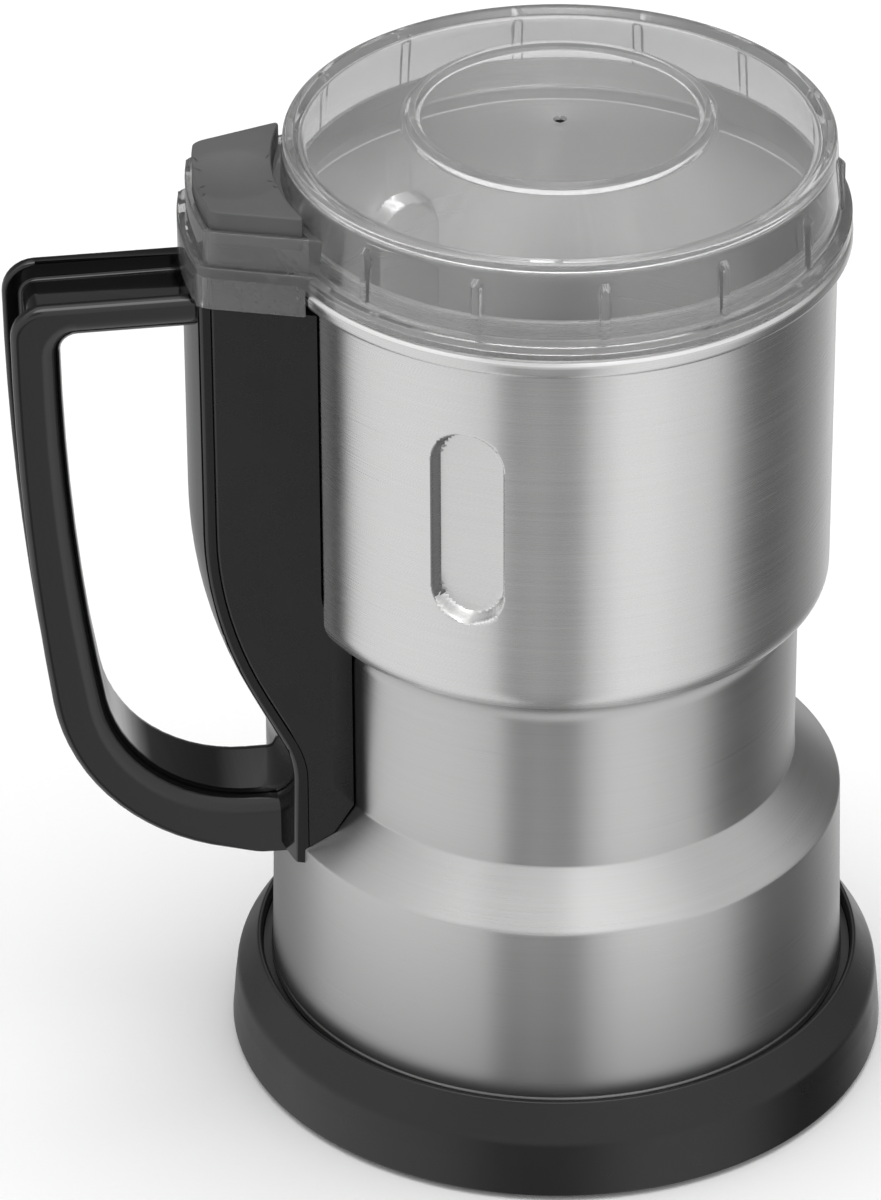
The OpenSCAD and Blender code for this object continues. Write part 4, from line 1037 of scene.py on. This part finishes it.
def make_lid():
    """Clear lid: dome with a raised ring, rolled rim, ribbed skirt, flange, hollow stepped ear."""
    outside = rounded_line([(0, 190.9, 0), (0.8, 190.95, 0.2), (1.25, 191.5, 0.2),
                            (24.7, 192.3, 0.6), (25.6, 193.3, 0.3), (26.6, 193.3, 0.3),
                            (27.5, 192.45, 0.6), (45.6, 188.6, 1.2), (47.2, 189.4, 0.9),
                            (49.0, 189.4, 1.3), (50.0, 175.4, 0.6), (52.0, 174.6, 0.35),
                            (52.0, LID_Z, 0.3)])
    inside = rounded_line([(52.0, LID_Z, 0.3), (48.7, LID_Z, 0.3), (48.4, 174.6, 0.8),
                           (47.2, 186.9, 1.6), (28.1, 190.9, 1.0), (0, 189.7, 0)])
    lid = turn_on_lathe("lid_moulding",
                        propped_line(outside, 0.3, 0.6) + propped_line(inside, 0.3, 3.0),
                        start=(RIB_PITCH + RIB_SWEEP) / 2,
                        stretches=[(RIB_SWEEP, 12), (RIB_PITCH - RIB_SWEEP, 18)] * RIB_PLACES)
    move_points(lid, raise_ribs)
    ear = wedge_block("ear_low", 14.8, 49.2, 68.0, 166.8, 175.2, 2.6, 0.5, 0.7)
    top = wedge_block("ear_top", 13.6, 49.3, 66.4, 174.0, 181.8, 2.2, 0.35)
    work(ear, top, "UNION")
    clear = rounded_bar("bead_room", 52.5, 160.0, 172.3, edge=0.05, steps=192)
    work(ear, clear, "DIFFERENCE")
    work(ear, wedge_block("ear_well", 12.6, 50.8, 65.4, 174.2, 184.0, 1.4), "DIFFERENCE")
    work(ear, wedge_block("ear_under", 13.3, 52.5, 66.5, 164.0, 172.7, 1.4), "DIFFERENCE")
    work(ear, rounded_bar("stem_hole", 2.9, 170.0, 176.0, (ROD_X, 0)), "DIFFERENCE")
    work(lid, ear, "UNION")
    settle(soft_shade(lid, 30), "lid", "lid")
    mark_faces(lid, "gate_mark", lambda spot, way: math.hypot(spot.x, spot.y) < 0.8)


BUTTON_TOP = 185.3
DISH_R = 60
DISH_DEPTH = 0.8


def make_button():
    """The press button: a dished wedge whose lip drops into the ear, on a round stem."""
    button = wedge_block("press_pad", 12.35, 51.05, 65.15, 179.2, BUTTON_TOP, 2.2)
    bevel_edges(button, 1.5, lambda edge: is_upright(edge) and middle_of(edge).x > -51, 5)
    rest_hands()
    dish_z = BUTTON_TOP + DISH_R - DISH_DEPTH
    bpy.ops.mesh.primitive_uv_sphere_add(segments=96, ring_count=96, radius=DISH_R * MM,
                                         location=(-58.1 * MM, 0, dish_z * MM))
    work(button, bpy.context.object, "DIFFERENCE")
    bevel_edges(button, 0.45, lambda edge: middle_of(edge).z > 184, 3)
    work(button, wedge_block("button_hollow", 10.95, 52.45, 63.75, 178.0, 182.5, 1.2), "DIFFERENCE")
    stem = rounded_bar("button_stem", 2.6, 171.2, 183.0, (ROD_X, 0), 0.4)
    work(button, stem, "UNION")
    groove = rounded_bar("clip_groove", 4.0, 171.6, 172.4, (ROD_X, 0), 0.02, hole=1.9)
    work(button, groove, "DIFFERENCE")
    soft_shade(button, 28, flats=True)
    settle(button, "button", "press_button")


# ---------------------------------------------------------- inner pieces

COIL_STEPS = 32


def make_spring(name, body, radius, wire, low, high, turns):
    """A coil of wire between two heights, on the given body."""
    rest_hands()
    bpy.ops.mesh.primitive_circle_add(vertices=12, radius=wire * MM, location=(radius * MM, 0, 0),
                                      rotation=(math.radians(90), 0, 0))
    coil = bpy.context.object
    coil.name = name + "_coil"
    bpy.ops.object.transform_apply(location=True, rotation=True, scale=True)
    pitch = (high - low - 2 * wire) / turns
    apply_modifier(coil, "SCREW", axis="Z", angle=math.radians(360), screw_offset=pitch * MM,
                   iterations=turns, steps=COIL_STEPS, render_steps=COIL_STEPS)
    bpy.ops.object.mode_set(mode="EDIT")
    bpy.ops.mesh.select_mode(type="VERT")
    bpy.ops.mesh.select_all(action="SELECT")
    bpy.ops.mesh.fill_holes(sides=0)
    bpy.ops.mesh.normals_make_consistent(inside=False)
    bpy.ops.object.mode_set(mode="OBJECT")
    move_points(coil, lambda place: place + Vector((ROD_X, 0, low + wire)))
    settle(soft_shade(coil, 50), body, name)
    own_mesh(coil)


def dress_inner_nodes():
    """The pieces that keep their CAD shape get their slot's finish."""
    for name, node in frame["nodes"].items():
        if not node.hide_render:
            paint_over(node, name)


# ------------------------------------------------------------------ stage

CAMERA_PLACE = Vector((-0.1736, -1.0804, 0.7753))
CAMERA_HEADING = 8.0
CAMERA_DIP = 32.0
CAMERA_ROLL = -0.33
CAMERA_LENS = 210.57

# Brightness of the surroundings by direction: degrees to the right of the camera, seen from the
# object
LOW_BOXES = ((-180, 0.4), (-150, 0.3), (-118, 0.5), (-104, 0.95), (-60, 0.95), (-30, 0.86),
             (-24, 0.3), (-17, 0.3), (-9, 0.4), (-2, 0.3), (8, 0.3), (13, 0.66), (24, 0.9),
             (32, 1.5), (38, 1.05), (52, 0.85), (66, 0.82), (74, 0.55), (84, 0.1), (102, 0.06),
             (116, 0.16), (134, 0.42), (150, 0.66), (162, 1.1), (172, 0.4))
UPPER_BOXES = ((-180, 0.1), (-135, 0.12), (-112, 0.7), (-60, 1.0), (-20, 0.7), (30, 1.0),
               (75, 0.8), (110, 0.4), (135, 0.12))
OVERHEAD = ((-180, 3.4), (-120, 2.2), (-60, 1.1), (-44, 1.0), (-34, 0.45), (-16, 0.5), (-2, 0.4),
            (8, 0.8), (22, 1.5), (32, 2.6), (44, 1.5), (62, 0.8), (96, 0.6), (125, 1.8), (140, 3.4))
ZENITH = 3.2
# Where each higher layer takes over, as the height of a direction, and how sharply
LAYER_EDGES = ((-0.3, 4.0), (0.45, 5.0), (0.88, 12.0))
BACKDROP = 0.97


def make_surroundings():
    """A bright room of wide soft boxes and dark flags, plain white where the camera sees it."""
    world = bpy.data.worlds.new("studio")
    bpy.context.scene.world = world
    world.use_nodes = True
    paint = Paint(world.node_tree)
    x, y, z = paint.parts(paint.add("ShaderNodeTexCoord"))
    around = paint.add("ShaderNodeMath", {"operation": "ARCTAN2"}, i0=y, i1=x) / (2 * math.pi)
    shift = (90 + CAMERA_HEADING) / 360 + 0.5
    turn = paint.add("ShaderNodeMath", {"operation": "FRACT"}, i0=around + shift + 1.0)
    layers = []
    for boxes in (LOW_BOXES, UPPER_BOXES, OVERHEAD):
        stops = [((degrees + 180) / 360, shade) for degrees, shade in boxes]
        ramp = {"stops": stops, "interpolation": "B_SPLINE"}
        layers.append(paint.add("ShaderNodeValToRGB", ramp, Fac=turn))
    level = layers[0]
    for (height, sharpness), layer in zip(LAYER_EDGES, layers[1:] + [grey(ZENITH)]):
        level = paint.blend(paint.clamp((z - height) * sharpness), level, layer)
    streaks = paint.add("ShaderNodeTexNoise", {"noise_dimensions": "1D"}, W=turn * 90.0, Detail=2.0)
    level = paint.add("ShaderNodeMix", {"data_type": "RGBA", "blend_type": "MULTIPLY"}, out=2,
                      i0=1.0, i6=level, i7=paint.blend(streaks, grey(0.7), grey(1.3)))
    seen = paint.add("ShaderNodeLightPath", out="Is Camera Ray")
    colour = paint.blend(seen, level, grey(BACKDROP))
    shader = paint.add("ShaderNodeBackground", Color=colour, Strength=1.0)
    output = paint.tree.nodes.new("ShaderNodeOutputWorld")
    paint.tree.links.new(shader.socket, output.inputs[0])


def make_floor():
    """Bare pale paper, as wide as the light needs."""
    rest_hands()
    bpy.ops.mesh.primitive_plane_add(size=8.0)
    floor = bpy.context.object
    floor.name = "studio_floor"
    paper = Finish("floor paper", Metallic=0.0)
    fibre = paper.grain((0.8, 0.8, 0.8), 3)
    paper.set("Base Color", paper.blend(fibre, grey(0.95), grey(0.97)))
    paper.set("Roughness", paper.clamp(0.75 + (fibre - 0.5) * 0.1))
    floor.data.materials.append(paper.material)
    floor.visible_glossy = False


def make_camera():
    heading, dip = math.radians(CAMERA_HEADING), math.radians(CAMERA_DIP)
    way = Vector((math.sin(heading) * math.cos(dip), math.cos(heading) * math.cos(dip),
                  -math.sin(dip)))
    data = bpy.data.cameras.new("photo_camera")
    data.lens = CAMERA_LENS
    data.sensor_width = 36.0
    data.clip_start = 0.05
    data.clip_end = 50.0
    camera = bpy.data.objects.new("photo_camera", data)
    bpy.context.scene.collection.objects.link(camera)
    camera.location = CAMERA_PLACE
    roll = Matrix.Rotation(math.radians(CAMERA_ROLL), 3, "Z")
    camera.rotation_euler = (way.to_track_quat("-Z", "Y").to_matrix() @ roll).to_euler()
    bpy.context.scene.camera = camera


def dress_grinder():
    FINISHES.update(make_finishes())
    for make in (make_base_ring, make_foot_ring, make_cord_bush, make_housing, make_gasket,
                 make_bowl, make_bowl_screws, make_shaft_seal):
        make()
    make_blade("lower_blade_arms", "lower_blade", LOWER_BLADE_Z, -3.5, 0)
    make_blade("upper_blade_arms", "upper_blade", UPPER_BLADE_Z, 9.5, 90)
    for make in (make_blade_stack, make_column, make_grip, make_lid, make_button):
        make()
    make_spring("rod_spring", "grinder", 2.95, 0.32, 157.1, 168.5, 6)
    make_spring("button_spring", "lid", 3.4, 0.37, 174.2, 182.5, 5)
    dress_inner_nodes()


bpy.context.scene.view_settings.view_transform = "Standard"
make_camera()
make_surroundings()
make_floor()
dress_grinder()
